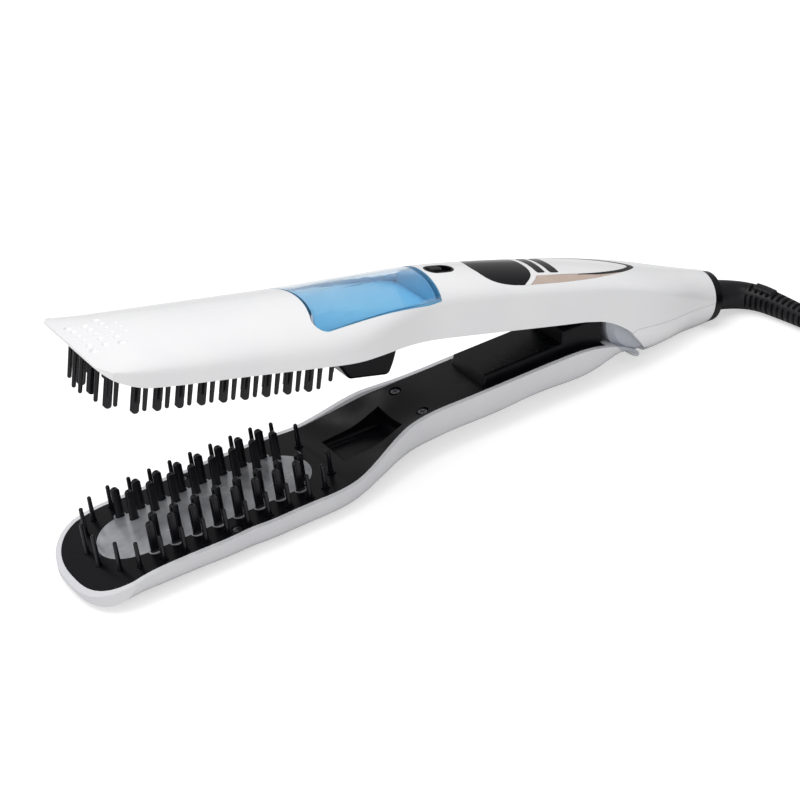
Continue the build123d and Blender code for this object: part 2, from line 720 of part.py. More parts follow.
def neck_block():
    """The raised block on the neck, with the higher box that reaches the hinge."""
    x0, x1 = NECK_BLOCK_X
    foot = NECK_FACE - 1.8
    profile = polygon((x0 - 2.3, foot), (x0, NECK_BLOCK_TOP), (NECK_BOX_X, NECK_BLOCK_TOP),
                      (NECK_BOX_X + 1.0, NECK_BOX_TOP), (x1, NECK_BOX_TOP), (x1, -4.4), (x1 - 1.6, -4.4),
                      (x1 - 1.6, -6.4), (x1 - 12, -6.0))
    block = side_solid(profile, NECK_BLOCK_HALF)
    top = [edge for edge in block.edges() if edge.center().Z > NECK_FACE + 1 and abs(edge.center().Y) > 1]
    return fillet(top, NECK_BLOCK_EDGE)


def lower_inner_cover():
    rear = SADDLE_X - 0.4
    inside = lower_hull(LOWER_RIM + COVER_FIT, LOWER_WALL + 0.3)
    head = lower_layer(0.0, COVER_THICKNESS)
    face = below_inner_face(0.0, rear)
    neck = face - below_inner_face(COVER_THICKNESS, rear)
    cover = (head + neck) & inside
    cover += pocket_tub(POCKET_WALL) & face
    cover += neck_block()
    cover += holes(LOWER_PINS, COLLAR_RADIUS, HEAD_FACE - 1, HEAD_FACE + COLLAR_HEIGHT) & (
        plan_box(LOWER_BEND_X, -140, 40, -40, 20))
    cover -= pocket_tub(0.0)
    cover -= plan_solid(lower_plate_plan(PLATE_FIT), -30, 0)
    cover -= holes(LOWER_PINS, PIN_RADIUS + PIN_CLEARANCE, -30, 0)
    cover -= screw_holes(HEAD_SCREW, HEAD_FACE, -30)
    cover -= screw_holes(NECK_SCREW, NECK_SCREW_FACE, -10)
    return cover


def lower_plate():
    plate = lower_layer(0.0, COVER_THICKNESS)
    plate &= plan_solid(lower_plate_plan(), -30, 0)
    return plate - tooth_slots(LOWER_WIDE, -30, 0)


def lower_insert_plan(grow=0.0):
    """Outline of the layer that carries the lower wide teeth."""
    x0, x1 = LOWER_PLATE
    end = INSERT_END_MARGIN + grow
    return bulged(stadium(x0 - end, x1 + end, LOWER_PLATE_HALF + LOWER_INSERT_MARGIN + grow),
                  LOWER_OUTER_WIDE, grow)


def upper_insert_plan(grow=0.0):
    """Outline of the layer that carries the upper wide teeth."""
    x0, x1 = UPPER_PLATE
    end = INSERT_END_MARGIN + grow
    half = UPPER_PLATE_HALF + UPPER_INSERT_MARGIN + grow
    return bulged(rounded_plan(x0 - end, x1 + end, half, UPPER_PLATE_CORNER + 2), UPPER_EDGE_WIDE, grow)


def heater_opening(plate):
    """The opening for the heater in the layer that carries the wide teeth."""
    return stadium(plate[0] + HEATER_MARGIN - 4, plate[1] - HEATER_MARGIN + 4, HEATER_HALF + 0.6)


def lower_tooth_insert():
    depth = COVER_THICKNESS + STACK_GAP
    ring = lower_layer(depth, depth + LAYER)
    ring &= plan_solid(lower_insert_plan() - heater_opening(LOWER_PLATE), -30, 0)
    return ring + wide_teeth(LOWER_WIDE, rim_height, -1, LOWER_WIDE_TIP)


def lower_pin_frame():
    depth = COVER_THICKNESS + STACK_GAP
    frame = lower_layer(depth, depth + LAYER, POCKET_X[0] - POCKET_WALL - 1.0)
    frame &= lower_hull(LOWER_RIM + FRAME_RIM, LOWER_WALL + 0.3)
    frame -= plan_solid(lower_insert_plan(FRAME_GAP), -40, 5)
    frame += thin_pins(LOWER_PINS, rim_height, -1, LOWER_PIN_TIP)
    for x, y in mirrored([HEAD_SCREW]):
        frame -= upright(SCREW_SHANK_RADIUS + SCREW_CLEARANCE, -30, 0, x, y)
    return frame


def heater(plate, face, into):
    near = face + into * (COVER_THICKNESS + STACK_GAP)
    far = near + into * HEATER_HEIGHT
    x0, x1 = plate[0] + HEATER_MARGIN, plate[1] - HEATER_MARGIN
    bar = plan_box(x0, x1, HEATER_HALF, min(near, far), max(near, far))
    return fillet(bar.edges().filter_by(Axis.Z), 2.0)


def heater_tray(plate, face, into):
    """The tray that presses the heater to its plate, with two rails under the tooth insert."""
    insert = face + into * (COVER_THICKNESS + STACK_GAP + LAYER + STACK_GAP)
    near = face + into * (COVER_THICKNESS + HEATER_HEIGHT + 2 * STACK_GAP)
    far = near + into * TRAY_THICKNESS
    x0, x1 = plate[0] + HEATER_MARGIN - 3, plate[1] - HEATER_MARGIN + 2.5
    tray = plan_box(x0, x1, TRAY_HALF, min(near, far), max(near, far))
    for y in (-TRAY_HALF + 1, TRAY_HALF - 1):
        low, high = min(insert, near), max(insert, near)
        tray += Pos((x0 + x1) / 2, y, (low + high) / 2) * Box(x1 - x0, 2.0, high - low)
    return tray


def thermal_fuse(plate, face, into):
    near = face + into * (COVER_THICKNESS + HEATER_HEIGHT + 2 * STACK_GAP)
    low = near if into < 0 else near - 2.0
    return x_cylinder(1.0, plate[1] - 46, plate[1] - 34, HEATER_HALF + 2.6, low + 1.0)


# Upper arm's pieces


def upper_keep():
    """The main body above its lower edge and its parting line, seen from the side."""
    stations = spaced(-258.0, UPPER_BEND_X, 7) + spaced(-200.0, -152.0, 4) + spaced(-145.0, -112.0, 6)
    face = Spline(*[(x, upper_face(x)) for x in stations], (-70, UPPER_NECK_FACE), (-30, UPPER_NECK_FACE))
    hollow = ThreePointArc((-22, 2.4), (-12.6, -0.3), (-4.9, -4.5))
    start = (stations[0], upper_face(stations[0]))
    return side_solid([face, Line((-30, UPPER_NECK_FACE), (-22, 2.4)), hollow,
                       Polyline((-4.9, -4.5), (-2.5, -2.9), (TAIL_END_X + 1, 1.9), (TAIL_END_X + 1, 40),
                                (start[0], 40), start)], 40)


def rear_cover_keep(front_shift=0.0):
    return side_solid(polygon((-4.9 + front_shift, -4.75), (-2.5 + front_shift, -2.9 - PARTING_GAP),
                              (TAIL_END_X + 1, 1.9 - PARTING_GAP), (TAIL_END_X + 1, -26),
                              (19.5 + front_shift, -26)), 40)


def tank_window(grow):
    """Plan of the water tank, which narrows to the rear and has a hollow front edge."""
    x0 = TANK_FRONT_X - grow
    half = TANK_FRONT_HALF + grow
    front = ThreePointArc((x0, half), (x0 + TANK_FRONT_HOLLOW, 0), (x0, -half))
    sides = Polyline((x0, -half), (TANK_REAR_X + grow, -TANK_REAR_HALF - grow),
                     (TANK_REAR_X + grow, TANK_REAR_HALF + grow), (x0, half))
    face = make_face([front, sides])
    front = [v for v in face.vertices() if v.X < (TANK_FRONT_X + TANK_REAR_X) / 2]
    return fillet(front, TANK_CORNER + grow)


def upper_shell():
    keep = upper_keep() & upper_plan(0.0)
    hull = body_hull(0.0) & keep
    cavity = body_hull(UPPER_WALL) & upper_plan(UPPER_WALL)
    cavity &= plan_box(-300, TAIL_END_X + 1, 40, -40, 40)
    shell = hull - cavity
    shell -= plan_solid(tank_window(TANK_FIT), SEAT_TOP - 0.2, 40)
    shell -= plan_solid(mirrored_outline(OVAL, SKIN_FIT), 8, 40)
    shell -= plan_solid(stadium(*slider_span(SKIN_FIT), SLIDER_WIDTH / 2 + SKIN_FIT), 12, 40)
    ceiling = UPPER_FACE + COVER_THICKNESS + HEATER_HEIGHT + TRAY_THICKNESS + 3 * STACK_GAP
    for x in (UPPER_PLATE[0] + HEATER_MARGIN + 6, UPPER_PLATE[1] - HEATER_MARGIN - 8):
        shell += plan_box(x - RIB_THICKNESS / 2, x + RIB_THICKNESS / 2, TRAY_HALF, ceiling, 30) & hull
    for y0, y1 in ((BARREL_HALF + CHEEK_GAP, 17.4), (-17.4, -BARREL_HALF - CHEEK_GAP)):
        shell += y_cylinder(BOSS_RADIUS, y0, y1) & hull
    shell -= y_cylinder(HINGE_PIN_RADIUS, -PIN_END, PIN_END)
    for x in (MAIN_BOARD[0] + 4, MAIN_BOARD[1] - 4):
        ledge = plan_box(x - 2, x + 2, 17, MAIN_BOARD_BOTTOM - 1.6, MAIN_BOARD_BOTTOM)
        ledge -= plan_box(x - 3, x + 3, MAIN_BOARD[2] - 1.0, 0, 20)
        shell += ledge & hull
    return shell - dimples()


def dimples():
    """Shallow round dimples in staggered rows near the front edge."""
    cut = Part()
    for x, count in DIMPLE_ROWS:
        for k in range(count):
            y = DIMPLE_SPACING * (k - (count - 1) / 2)
            cut += Pos(x, y, through(TOP_LINE, x) + DIMPLE_LIFT - 0.008 * y * y) * Sphere(DIMPLE_RADIUS)
    return cut


def upper_inner_cover():
    inside = body_hull(UPPER_WALL + COVER_FIT) & upper_plan(UPPER_WALL + COVER_FIT)
    stations = spaced(-256.0, UPPER_BEND_X, 7) + spaced(-200.0, -152.0, 4) + spaced(-145.0, -112.0, 6)
    stations += [-70, UPPER_COVER_REAR_X]
    low = Spline(*[(x, upper_face(x)) for x in stations])
    high = Spline(*[(x, upper_face(x) + COVER_THICKNESS) for x in stations])
    ends = [Line(low @ 0, high @ 0), Line(low @ 1, high @ 1)]
    cover = side_solid([low, high] + ends, 40) & inside
    cover -= plan_solid(upper_plate_plan(PLATE_FIT), -5, 12)
    cover -= holes(UPPER_PINS, PIN_RADIUS + PIN_CLEARANCE, -5, 14)
    cover -= tooth_slots(UPPER_FRONT_WIDE, -5, 14)
    x0, x1 = block_span()
    return cover - plan_box(x0 - COVER_FIT, x1 + COVER_FIT, BLOCK_HALF + COVER_FIT, -5, 14)


def upper_plate():
    plate = upper_layer(0.0, COVER_THICKNESS)
    plate &= plan_solid(upper_plate_plan(), -5, 14)
    return plate - tooth_slots(UPPER_WIDE, -5, 14)


def upper_tooth_insert():
    depth = COVER_THICKNESS + STACK_GAP
    ring = upper_layer(depth, depth + LAYER)
    ring &= plan_solid(upper_insert_plan() - heater_opening(UPPER_PLATE), -5, 14)
    return ring + wide_teeth(UPPER_WIDE, upper_face, 1, UPPER_WIDE_TIP)


def upper_pin_frame():
    depth = COVER_THICKNESS + STACK_GAP
    frame = upper_layer(depth, depth + LAYER, block_span()[0] - 0.6)
    frame &= body_hull(UPPER_WALL + COVER_FIT) & upper_plan(UPPER_WALL + FRAME_RIM)
    frame -= plan_solid(upper_insert_plan(FRAME_GAP), -5, 20)
    frame += thin_pins(UPPER_PINS, upper_face, 1, UPPER_PIN_TIP)
    return frame + wide_teeth(UPPER_FRONT_WIDE, upper_face, 1, UPPER_FRONT_WIDE_TIP)


def block_span():
    return (BLOCK_PROFILE[0][0], BLOCK_PROFILE[-1][0])


def pump_housing():
    """The block under the upper arm that drops into the pocket when the arms shut."""
    x0, x1 = block_span()
    top = BLOCK_PROFILE[0][1]
    face = make_face(polygon(*BLOCK_PROFILE))
    face = fillet([corner for corner in face.vertices() if corner.Y < -6], BLOCK_BEND)
    block = side_solid(face.edges(), BLOCK_HALF)
    block = fillet([edge for edge in block.edges() if edge.center().Z < 0 and abs(edge.center().Y) > 1],
                   BLOCK_CORNER)
    inner = polygon((x0 + 2, top + 1), (x0 + 2.4, 1.0), (-139.0, -7.0), (-134.0, -12.4),
                    (-119.0, -12.4), (-117.4, -8.0), (-116.2, -3.0), (x1 - 2, 3.0), (x1 - 2, top + 1))
    return block - side_solid(inner, BLOCK_HALF - BLOCK_WALL)


def water_pump():
    x0 = OUTLET_X - 1.0
    pump = x_cylinder(PUMP_RADIUS, x0, x0 + PUMP_LENGTH, 0, -12.4 + PUMP_RADIUS)
    spout = upright(OUTLET_RADIUS, -12.4 + PUMP_RADIUS, SEAT_TOP - SEAT_THICKNESS - 0.2, OUTLET_X, 0)
    return pump + spout


def tank_seat():
    seat = plan_solid(tank_window(SEAT_LEDGE), SEAT_TOP - SEAT_THICKNESS, SEAT_TOP)
    seat &= body_hull(UPPER_WALL + COVER_FIT)
    seat -= upright(OUTLET_RADIUS, 0, 20, OUTLET_X, 0)
    return seat - upright(FILLER_FLANGE_RADIUS + 0.5, 0, 20, FILLER_X, 0)


def tank_seal():
    seal = upright(SEAL_RADIUS, SEAT_TOP, TANK_FLOOR, OUTLET_X, 0)
    return seal - upright(OUTLET_RADIUS, 0, 20, OUTLET_X, 0)


def water_tank():
    outer = body_hull(0.0) & plan_solid(tank_window(0.0), TANK_FLOOR, 40)
    inner = body_hull(TANK_WALL) & plan_solid(tank_window(-TANK_WALL), TANK_FLOOR + TANK_WALL, 40)
    tank = outer - inner
    tank -= upright(OUTLET_RADIUS, 0, TANK_FLOOR + TANK_WALL + 1, OUTLET_X, 0)
    return tank - upright(FILLER_RADIUS, 0, TANK_FLOOR + TANK_WALL + 1, FILLER_X, 0)


def tank_filler_plug():
    plug = upright(FILLER_RADIUS, TANK_FLOOR, TANK_FLOOR + TANK_WALL + 0.6, FILLER_X, 0)
    return plug + upright(FILLER_FLANGE_RADIUS, TANK_FLOOR - FILLER_FLANGE, TANK_FLOOR, FILLER_X, 0)


# Controls


def slider_span(grow):
    return (SLIDER_X - SLIDER_LENGTH / 2 - grow, SLIDER_X + SLIDER_LENGTH / 2 + grow)


def slider_bezel():
    x0, x1 = slider_span(0.0)
    depth = SLIDER_DEPTH + SLIDER_BASE
    dish = crown_band(0.0, depth, x0 - 3, x1 + 3) & plan_solid(stadium(x0, x1, SLIDER_WIDTH / 2), 10, 40)
    hollow = crown_band(-3.0, SLIDER_DEPTH, x0 - 3, x1 + 3)
    hollow &= plan_solid(stadium(x0 + SLIDER_RIM, x1 - SLIDER_RIM, SLIDER_WIDTH / 2 - SLIDER_RIM), 10, 40)
    return dish - hollow


def slider_knob():
    x0 = SLIDER_X - SLIDER_TRAVEL / 2 - KNOB_LENGTH / 2
    face = stadium(x0, x0 + KNOB_LENGTH, KNOB_WIDTH / 2)
    floor = through(TOP_LINE, SLIDER_X) - SLIDER_DEPTH + 0.15
    top = through(TOP_LINE, SLIDER_X) + KNOB_PROUD
    knob = plan_solid(face, floor, top)
    return fillet(knob.faces().sort_by(Axis.Z)[-1].edges(), 0.7)


def oval_skin(plan, depth0=0.0, depth1=SKIN):
    return crown_band(depth0, depth1, OVAL[0][0] - 4, OVAL[-1][0] + 5) & plan_solid(plan, 5, 40)


def ahead_of_lens_edge(shift=0.0):
    """Plan of everything in front of the lens's curved rear edge, moved rearwards by shift."""
    points = [(x + shift, y) for x, y in LENS_REAR]
    edge = Spline(*points, *[(x, -y) for x, y in points[-2::-1]])
    x, y = points[0]
    return make_face([edge, Polyline((x, -y), (x - 60, -y), (x - 60, y), (x, y))])


def display_lens():
    return oval_skin(mirrored_outline(OVAL) & ahead_of_lens_edge())


def button_plan(name, grow=0.0):
    x, length, half = BUTTONS[name]
    return Pos(x, 0) * RectangleRounded(length + 2 * grow, 2 * (half + grow), 0.8 + grow)


def oval_inlay():
    """The white inlay: its middle, and a band out to the oval's edge behind the lens."""
    band = mirrored_outline(OVAL) & ahead_of_lens_edge(INLAY_BAND)
    plan = (band + mirrored_outline(INNER_OVAL)) - ahead_of_lens_edge(SKIN_FIT)
    inlay = oval_skin(plan)
    for name in BUTTONS:
        inlay -= plan_solid(button_plan(name, SKIN_FIT), 0, 40)
    return inlay


def trim_ring():
    """Plan of the ring between the oval's edge and the white inlay."""
    ring = mirrored_outline(OVAL) - ahead_of_lens_edge(INLAY_BAND + SKIN_FIT)
    return ring - mirrored_outline(INNER_OVAL, SKIN_FIT)


def inside_strips(grow=0.0):
    """Plan of everything between the inner edges of the two metal strips."""
    points = [(x, y + grow) for x, y in STRIP_LINE]
    edge = Spline(*points)
    x0, y0 = points[0]
    x1, y1 = points[-1]
    return make_face([edge, edge.mirror(Plane.XZ), Line((x0, y0), (x0, -y0)), Line((x1, y1), (x1, -y1))])


def trim_strip(side):
    """One metal strip beside the inlay: it ends in a point at the rear."""
    half = Pos(STRIP_LINE[0][0] / 2, side * 30) * Rectangle(-STRIP_LINE[0][0], 60)
    strip = oval_skin((trim_ring() - inside_strips(TRIM_GAP)) & half)
    return max(strip.solids(), key=lambda solid: solid.volume)


def crescent_trim():
    """The dark crescent between the strips and the inlay. At the rear it closes the oval."""
    rear = Pos(CRESCENT_FRONT_X + 50, 0) * Rectangle(100, 60)
    plan = trim_ring() & rear
    x1, y1 = STRIP_LINE[-1]
    behind = Pos(x1 + 49.9, 0) * Rectangle(100, 60)
    crescent = oval_skin(plan & (inside_strips() + behind))
    return max(crescent.solids(), key=lambda solid: solid.volume)


def control_base():
    """The carrier under the lens, the inlay, the buttons and the strips."""
    base = oval_skin(mirrored_outline(OVAL), SKIN + 0.05, BASE_DEPTH)
    ledge = oval_skin(mirrored_outline(OVAL, BASE_LEDGE), UPPER_WALL + 0.6, BASE_DEPTH)
    base += ledge & body_hull(UPPER_WALL + 0.1)
    for name in BUTTONS:
        base -= plan_solid(button_plan(name, SKIN_FIT), 0, 40)
    for x in (-72.0, -58.0):
        base += upright(1.5, CONTROL_BOARD_TOP, 22.0, x, 0)
    return base - y_cylinder(BARREL_RADIUS + BARREL_CLEARANCE, -BARREL_HALF - 1, BARREL_HALF + 1)


def button(name):
    """A push button: a cap that follows the crown, and a stem down to its switch."""
    x, length, half = BUTTONS[name]
    cap = crown_band(-BUTTON_PROUD, BUTTON_DEPTH, x - 6, x + 6) & plan_solid(button_plan(name), 5, 40)
    low = CONTROL_BOARD_TOP + SWITCH_HEIGHT + BUTTON_TRAVEL + STEM_GAP
    high = through(TOP_LINE, x) - BUTTON_DEPTH + 0.8
    return cap + Pos(x, 0, (low + high) / 2) * Box(2.4, 4.0, high - low)


def tact_switches():
    pair = []
    for x, length, half in BUTTONS.values():
        pair.append(Pos(x, 0, CONTROL_BOARD_TOP + SWITCH_HEIGHT / 2) * Box(3.4, 5.0, SWITCH_HEIGHT))
    return pair


def board(place, top):
    x0, x1, half = place
    return plan_box(x0, x1, half, top - BOARD_THICKNESS, top)


# Tail and hinge


def rear_lower_cover():
    hull = body_hull(0.0)
    cover = (hull - body_hull(UPPER_WALL)) & rear_cover_keep()
    lip = hull & (rear_cover_keep() - rear_cover_keep(LIP_THICKNESS * 1.5))
    lip &= plan_box(-20, 30, 40, -30, 1.0)
    lip -= plan_box(-20, 40, 40, -4.0, 10)
    cover += lip
    cheek = BARREL_HALF + CHEEK_GAP
    return cover - y_cylinder(BARREL_RADIUS + BARREL_CLEARANCE, -cheek, cheek)


def hinge_pin():
    return y_cylinder(HINGE_PIN_RADIUS, -PIN_END, PIN_END)


def hinge_spring():
    """The opening spring, close round the pin, that fills the length of the barrel's hollow."""
    height = 2 * (BARREL_CAVITY_HALF - SPRING_GAP) - SPRING_WIRE
    radius = HINGE_PIN_RADIUS + SPRING_GAP + SPRING_WIRE / 2
    path = Helix(height / SPRING_TURNS, height, radius)
    section = Plane(origin=path @ 0, z_dir=path % 0) * Circle(SPRING_WIRE / 2)
    coil = sweep(section, path=path)
    return Pos(0, height / 2, 0) * Rot(90, 0, 0) * coil


def end_ring():
    x0 = TAIL_END_X
    centre = Pos(x0 + RING_LENGTH / 2, 0, TAIL_HEIGHT) * Rot(0, 90, 0)
    ring = centre * Cone(RING_ROOT_RADIUS, RING_END_RADIUS, RING_LENGTH)
    ring += x_cylinder(SPIGOT_RADIUS, x0 - SPIGOT_LENGTH, x0, 0, TAIL_HEIGHT)
    bore = x_cylinder(STEM_RADIUS + RUNNING_FIT, x0 - SPIGOT_LENGTH - 1, x0 + RING_LENGTH + 1, 0, TAIL_HEIGHT)
    return ring - bore


def swivel_stem():
    x0 = TAIL_END_X - SPIGOT_LENGTH - FLANGE_GAP
    stem = x_cylinder(STEM_RADIUS, x0 - FLANGE_LENGTH, TAIL_END_X + RING_LENGTH + STEM_OUT, 0, TAIL_HEIGHT)
    return stem + x_cylinder(FLANGE_RADIUS, x0 - FLANGE_LENGTH, x0, 0, TAIL_HEIGHT)


# Standing on the floor


def lean(turn, x, z):
    """Turn a point in X and Z about the hinge axis, tips upwards."""
    return (x * math.cos(turn) + z * math.sin(turn), z * math.cos(turn) - x * math.sin(turn))


HINGE_Z = -lean(REST_TILT, BELLY_X, BELLY_DEPTH)[1]
FRONT_X = lean(REST_TILT, LOWER_NOSE_X, rim_height(LOWER_NOSE_X))[0]
UPPER_TURN = REST_TILT + math.radians(OPEN_ANGLE)
REAR_X = lean(UPPER_TURN, TAIL_END_X + RING_LENGTH, TAIL_HEIGHT + RING_END_RADIUS)[0]
HINGE_X = -(FRONT_X + REAR_X) / 2


def place_lower(shape):
    return Pos(HINGE_X, 0, HINGE_Z) * Rot(0, math.degrees(REST_TILT), 0) * shape


def place_upper(shape):
    return Pos(HINGE_X, 0, HINGE_Z) * Rot(0, math.degrees(UPPER_TURN), 0) * shape


def tail_point(out):
    """A point on the tail's axis, beyond the end ring."""
    x, z = lean(UPPER_TURN, TAIL_END_X + RING_LENGTH + out, TAIL_HEIGHT)
    return Vector(HINGE_X + x, 0, HINGE_Z + z)


# Cord: boot, lead, coil, tail and plug


def bend_radii(points):
    """The radius of each bend of a route: as large as its two runs allow. End runs serve one bend."""
    runs = [b - a for a, b in zip(points, points[1:])]
    reach = [0.45 * run.length for run in runs]
    reach[0] *= 2
    reach[-1] *= 2
    radii = []
    for k, (first, second) in enumerate(zip(runs, runs[1:])):
        turn = math.radians(first.get_angle(second))
        radii.append(min(reach[k], reach[k + 1]) / math.tan(turn / 2))
    return radii


def tube(points, name):
    radii = bend_radii(points)
    print(name, "radii", [round(r, 1) for r in radii])
    path = FilletPolyline(*points, radius=radii)
    section = Plane(origin=path @ 0, z_dir=path % 0) * Circle(CORD_DIAMETER / 2)
    solid = sweep(section, path=path)
    ideal = math.pi * CORD_DIAMETER**2 / 4 * path.length
    print(name, "length", round(path.length, 1), "volume ratio", round(solid.volume / ideal, 4))
    return solid


FLOOR_LIFT = CORD_DIAMETER / 2 + CORD_REST


def boot_path():
    """The boot leaves along the tail's axis, levels out and turns to the near side."""
    knee = tail_point(STEM_OUT + 9.0)
    points = [tail_point(STEM_OUT), knee, knee + Vector(10.3, -8.7, -2.0), knee + Vector(13.2, -25.4, -2.7),
              knee + Vector(14.8, -44.4, -2.9)]
    return FilletPolyline(*points, radius=[BOOT_BEND, BOOT_BEND, 5 * BOOT_BEND])


def strain_relief():
    """A tapered boot along a curved line."""
    path = boot_path()
    print("boot length", round(path.length, 1))
    rings = []
    for i in range(12):
        share = i / 11
        radius = mix(BOOT_ROOT_RADIUS, BOOT_END_RADIUS, share**0.8)
        rings.append(Plane(origin=path @ share, z_dir=path % share) * Circle(radius))
    return loft(rings)


def coil_path():
    """A flat spiral of half turns that runs in, climbs one layer in a half turn and runs out again."""
    step = LOOP_SPACING / 2
    x = -COIL_RADIUS
    z = FLOOR_LIFT
    side = 1
    radius = COIL_RADIUS
    edges = [Line((x, CORD_DIAMETER, z), (x, 0, z))]
    for k in range(HALF_TURNS_IN + HALF_TURNS_OUT):
        rise = LAYER_RISE if k == HALF_TURNS_IN - 1 else 0.0
        end = x + side * 2 * radius
        reach = math.hypot(radius, rise / 2)
        middle = ((x + end) / 2, -side * reach, z + rise / 2)
        edges.append(ThreePointArc((x, 0, z), middle, (end, 0, z + rise)))
        x, z, side = end, z + rise, -side
        radius += -step if k < HALF_TURNS_IN - 1 else step
    edges.append(Line((x, 0, z), (x, -CORD_DIAMETER, z)))
    place = Pos(*COIL_CENTRE, 0) * Rot(0, 0, COIL_TURN)
    return [place * edge for edge in edges]


def least_gap(edges):
    """The least gap of the coil to itself, measured on points along its line."""
    points = []
    length = 0.0
    for edge in edges:
        count = max(2, round(edge.length / 3))
        for i in range(count):
            points.append((length + edge.length * i / count, edge @ (i / count)))
        length += edge.length
    least = 1e9
    for i, (s, a) in enumerate(points):
        for t, b in points[i + 1:]:
            if t - s > 3 * CORD_DIAMETER:
                least = min(least, (a - b).length)
    return least - CORD_DIAMETER


def cord_coil():
    edges = coil_path()
    path = Wire(edges)
    start = edges[0]
    section = Plane(origin=start @ 0, z_dir=start % 0) * Circle(CORD_DIAMETER / 2)
    solid = sweep(section, path=path)
    ideal = math.pi * CORD_DIAMETER**2 / 4 * path.length
    print("coil length", round(path.length, 1), "half turns", HALF_TURNS_IN + HALF_TURNS_OUT)
    print("coil least gap", round(least_gap(edges), 2), "volume ratio", round(solid.volume / ideal, 4))
    return solid


def cord_lead():
    start = boot_path() @ 1
    end = coil_path()[0] @ 0
    points = [start, start + boot_path() % 1 * 13.0, end + Vector(-40.7, 0, 0), end]
    return tube(points, "lead")


def tail_points():
    """The tail climbs over the coil in a quarter turn, and the plug lies on the turns."""
    start = coil_path()[-1] @ 1
    plug_lift = CORD_DIAMETER / 2 + PLUG_REST + PLUG_THICKNESS / 2
    return [start, start + Vector(13.2, 0, 0), start + Vector(29.0, 15.8, 6.8),
            start + Vector(29.0, 38.2, plug_lift), start + Vector(29.0, 44.2, plug_lift)]


def cord_tail():
    return tube(tail_points(), "tail")


def plug_frame():
    """The plug lies flat on the floor, in line with the end of the cord."""
    points = tail_points()
    heading = (points[-1] - points[-2]).normalized()
    return Plane(origin=points[-1], x_dir=Vector(-heading.Y, heading.X, 0), z_dir=heading)


def plug_body():
    frame = plug_frame()
    neck = Cone(4.6, 6.0, PLUG_LENGTH / 3, align=(Align.CENTER, Align.CENTER, Align.MIN))
    root = Pos(0, 0, PLUG_LENGTH / 3) * RectangleRounded(0.4 * PLUG_WIDTH, PLUG_THICKNESS - 1.0, 4)
    middle = Pos(0, 0, 0.6 * PLUG_LENGTH) * RectangleRounded(0.88 * PLUG_WIDTH, PLUG_THICKNESS, 4)
    front = Pos(0, 0, PLUG_LENGTH) * RectangleRounded(PLUG_WIDTH, PLUG_THICKNESS, 4)
    return frame * (neck + loft([root, middle, front]))


def plug_pins():
    frame = plug_frame()
    pins = []
    for side in (-1, 1):
        pin = Cylinder(PLUG_PIN_RADIUS, PLUG_PIN_LENGTH, align=(Align.CENTER, Align.CENTER, Align.MIN))
        pin = Pos(side * PLUG_PIN_SPACING / 2, 0, PLUG_LENGTH) * pin
        pins.append(frame * fillet(pin.edges().sort_by(Axis.Z)[-1], 0.8))
    return pins


def save(name, shape):
    """Write one node. A list of solids becomes one node with separate solids."""
    solids = shape if isinstance(shape, list) else shape.solids()
    flat = [solid for item in solids for solid in item.solids()]
    whole = flat[0] if len(flat) == 1 else Compound(children=flat)
    export_step(whole, f"parts/{name}.step")
    print(name, len(flat), round(sum(solid.volume for solid in flat), 1))


LOWER_PIECES = {
    "lower_shell": lower_shell,
    "barrel_cap": barrel_cap,
    "lower_inner_cover": lower_inner_cover,
    "lower_plate": lower_plate,
    "lower_tooth_insert": lower_tooth_insert,
    "lower_pin_frame": lower_pin_frame,
    "lower_heater": lambda: heater(LOWER_PLATE, HEAD_FACE, -1),
    "lower_heater_tray": lambda: heater_tray(LOWER_PLATE, HEAD_FACE, -1),
    "lower_thermal_fuse": lambda: thermal_fuse(LOWER_PLATE, HEAD_FACE, -1),
    "head_screws": lambda: screws(HEAD_SCREW, HEAD_FACE, SCREW_LENGTH),
    "neck_screws": lambda: screws(NECK_SCREW, NECK_SCREW_FACE, SCREW_LENGTH),
    "hinge_spring": hinge_spring,
}
UPPER_PIECES = {
    "upper_shell": upper_shell,
    "upper_inner_cover": upper_inner_cover,
    "upper_plate": upper_plate,
    "upper_tooth_insert": upper_tooth_insert,
    "upper_pin_frame": upper_pin_frame,
    "upper_heater": lambda: heater(UPPER_PLATE, UPPER_FACE, 1),
    "upper_heater_tray": lambda: heater_tray(UPPER_PLATE, UPPER_FACE, 1),
    "upper_thermal_fuse": lambda: thermal_fuse(UPPER_PLATE, UPPER_FACE, 1),
    "pump_housing": pump_housing,
    "water_pump": water_pump,
    "tank_seat": tank_seat,
    "tank_seal": tank_seal,
    "water_tank": water_tank,
    "tank_filler_plug": tank_filler_plug,
    "slider_bezel": slider_bezel,
    "slider_knob": slider_knob,
    "display_lens": display_lens,
    "oval_inlay": oval_inlay,
    "trim_strip_near": lambda: trim_strip(-1),
    "trim_strip_far": lambda: trim_strip(1),
    "crescent_trim": crescent_trim,
    "control_base": control_base,
    "button_minus": lambda: button("button_minus"),
    "button_plus": lambda: button("button_plus"),
    "tact_switches": tact_switches,
    "control_board": lambda: board(CONTROL_BOARD, CONTROL_BOARD_TOP),
    "main_board": lambda: board(MAIN_BOARD, MAIN_BOARD_BOTTOM + BOARD_THICKNESS),
    "rear_lower_cover": rear_lower_cover,
    "hinge_pin": hinge_pin,
    "end_ring": end_ring,
    "swivel_stem": swivel_stem,
}
CORD_PIECES = {
    "strain_relief": strain_relief,
    "cord_lead": cord_lead,
    "cord_coil": cord_coil,
    "cord_tail": cord_tail,
    "plug_body": plug_body,
    "plug_pins": plug_pins,
}


def placed(shape, place):
    if isinstance(shape, list):
        return [place(item) for item in shape]
    return place(shape)


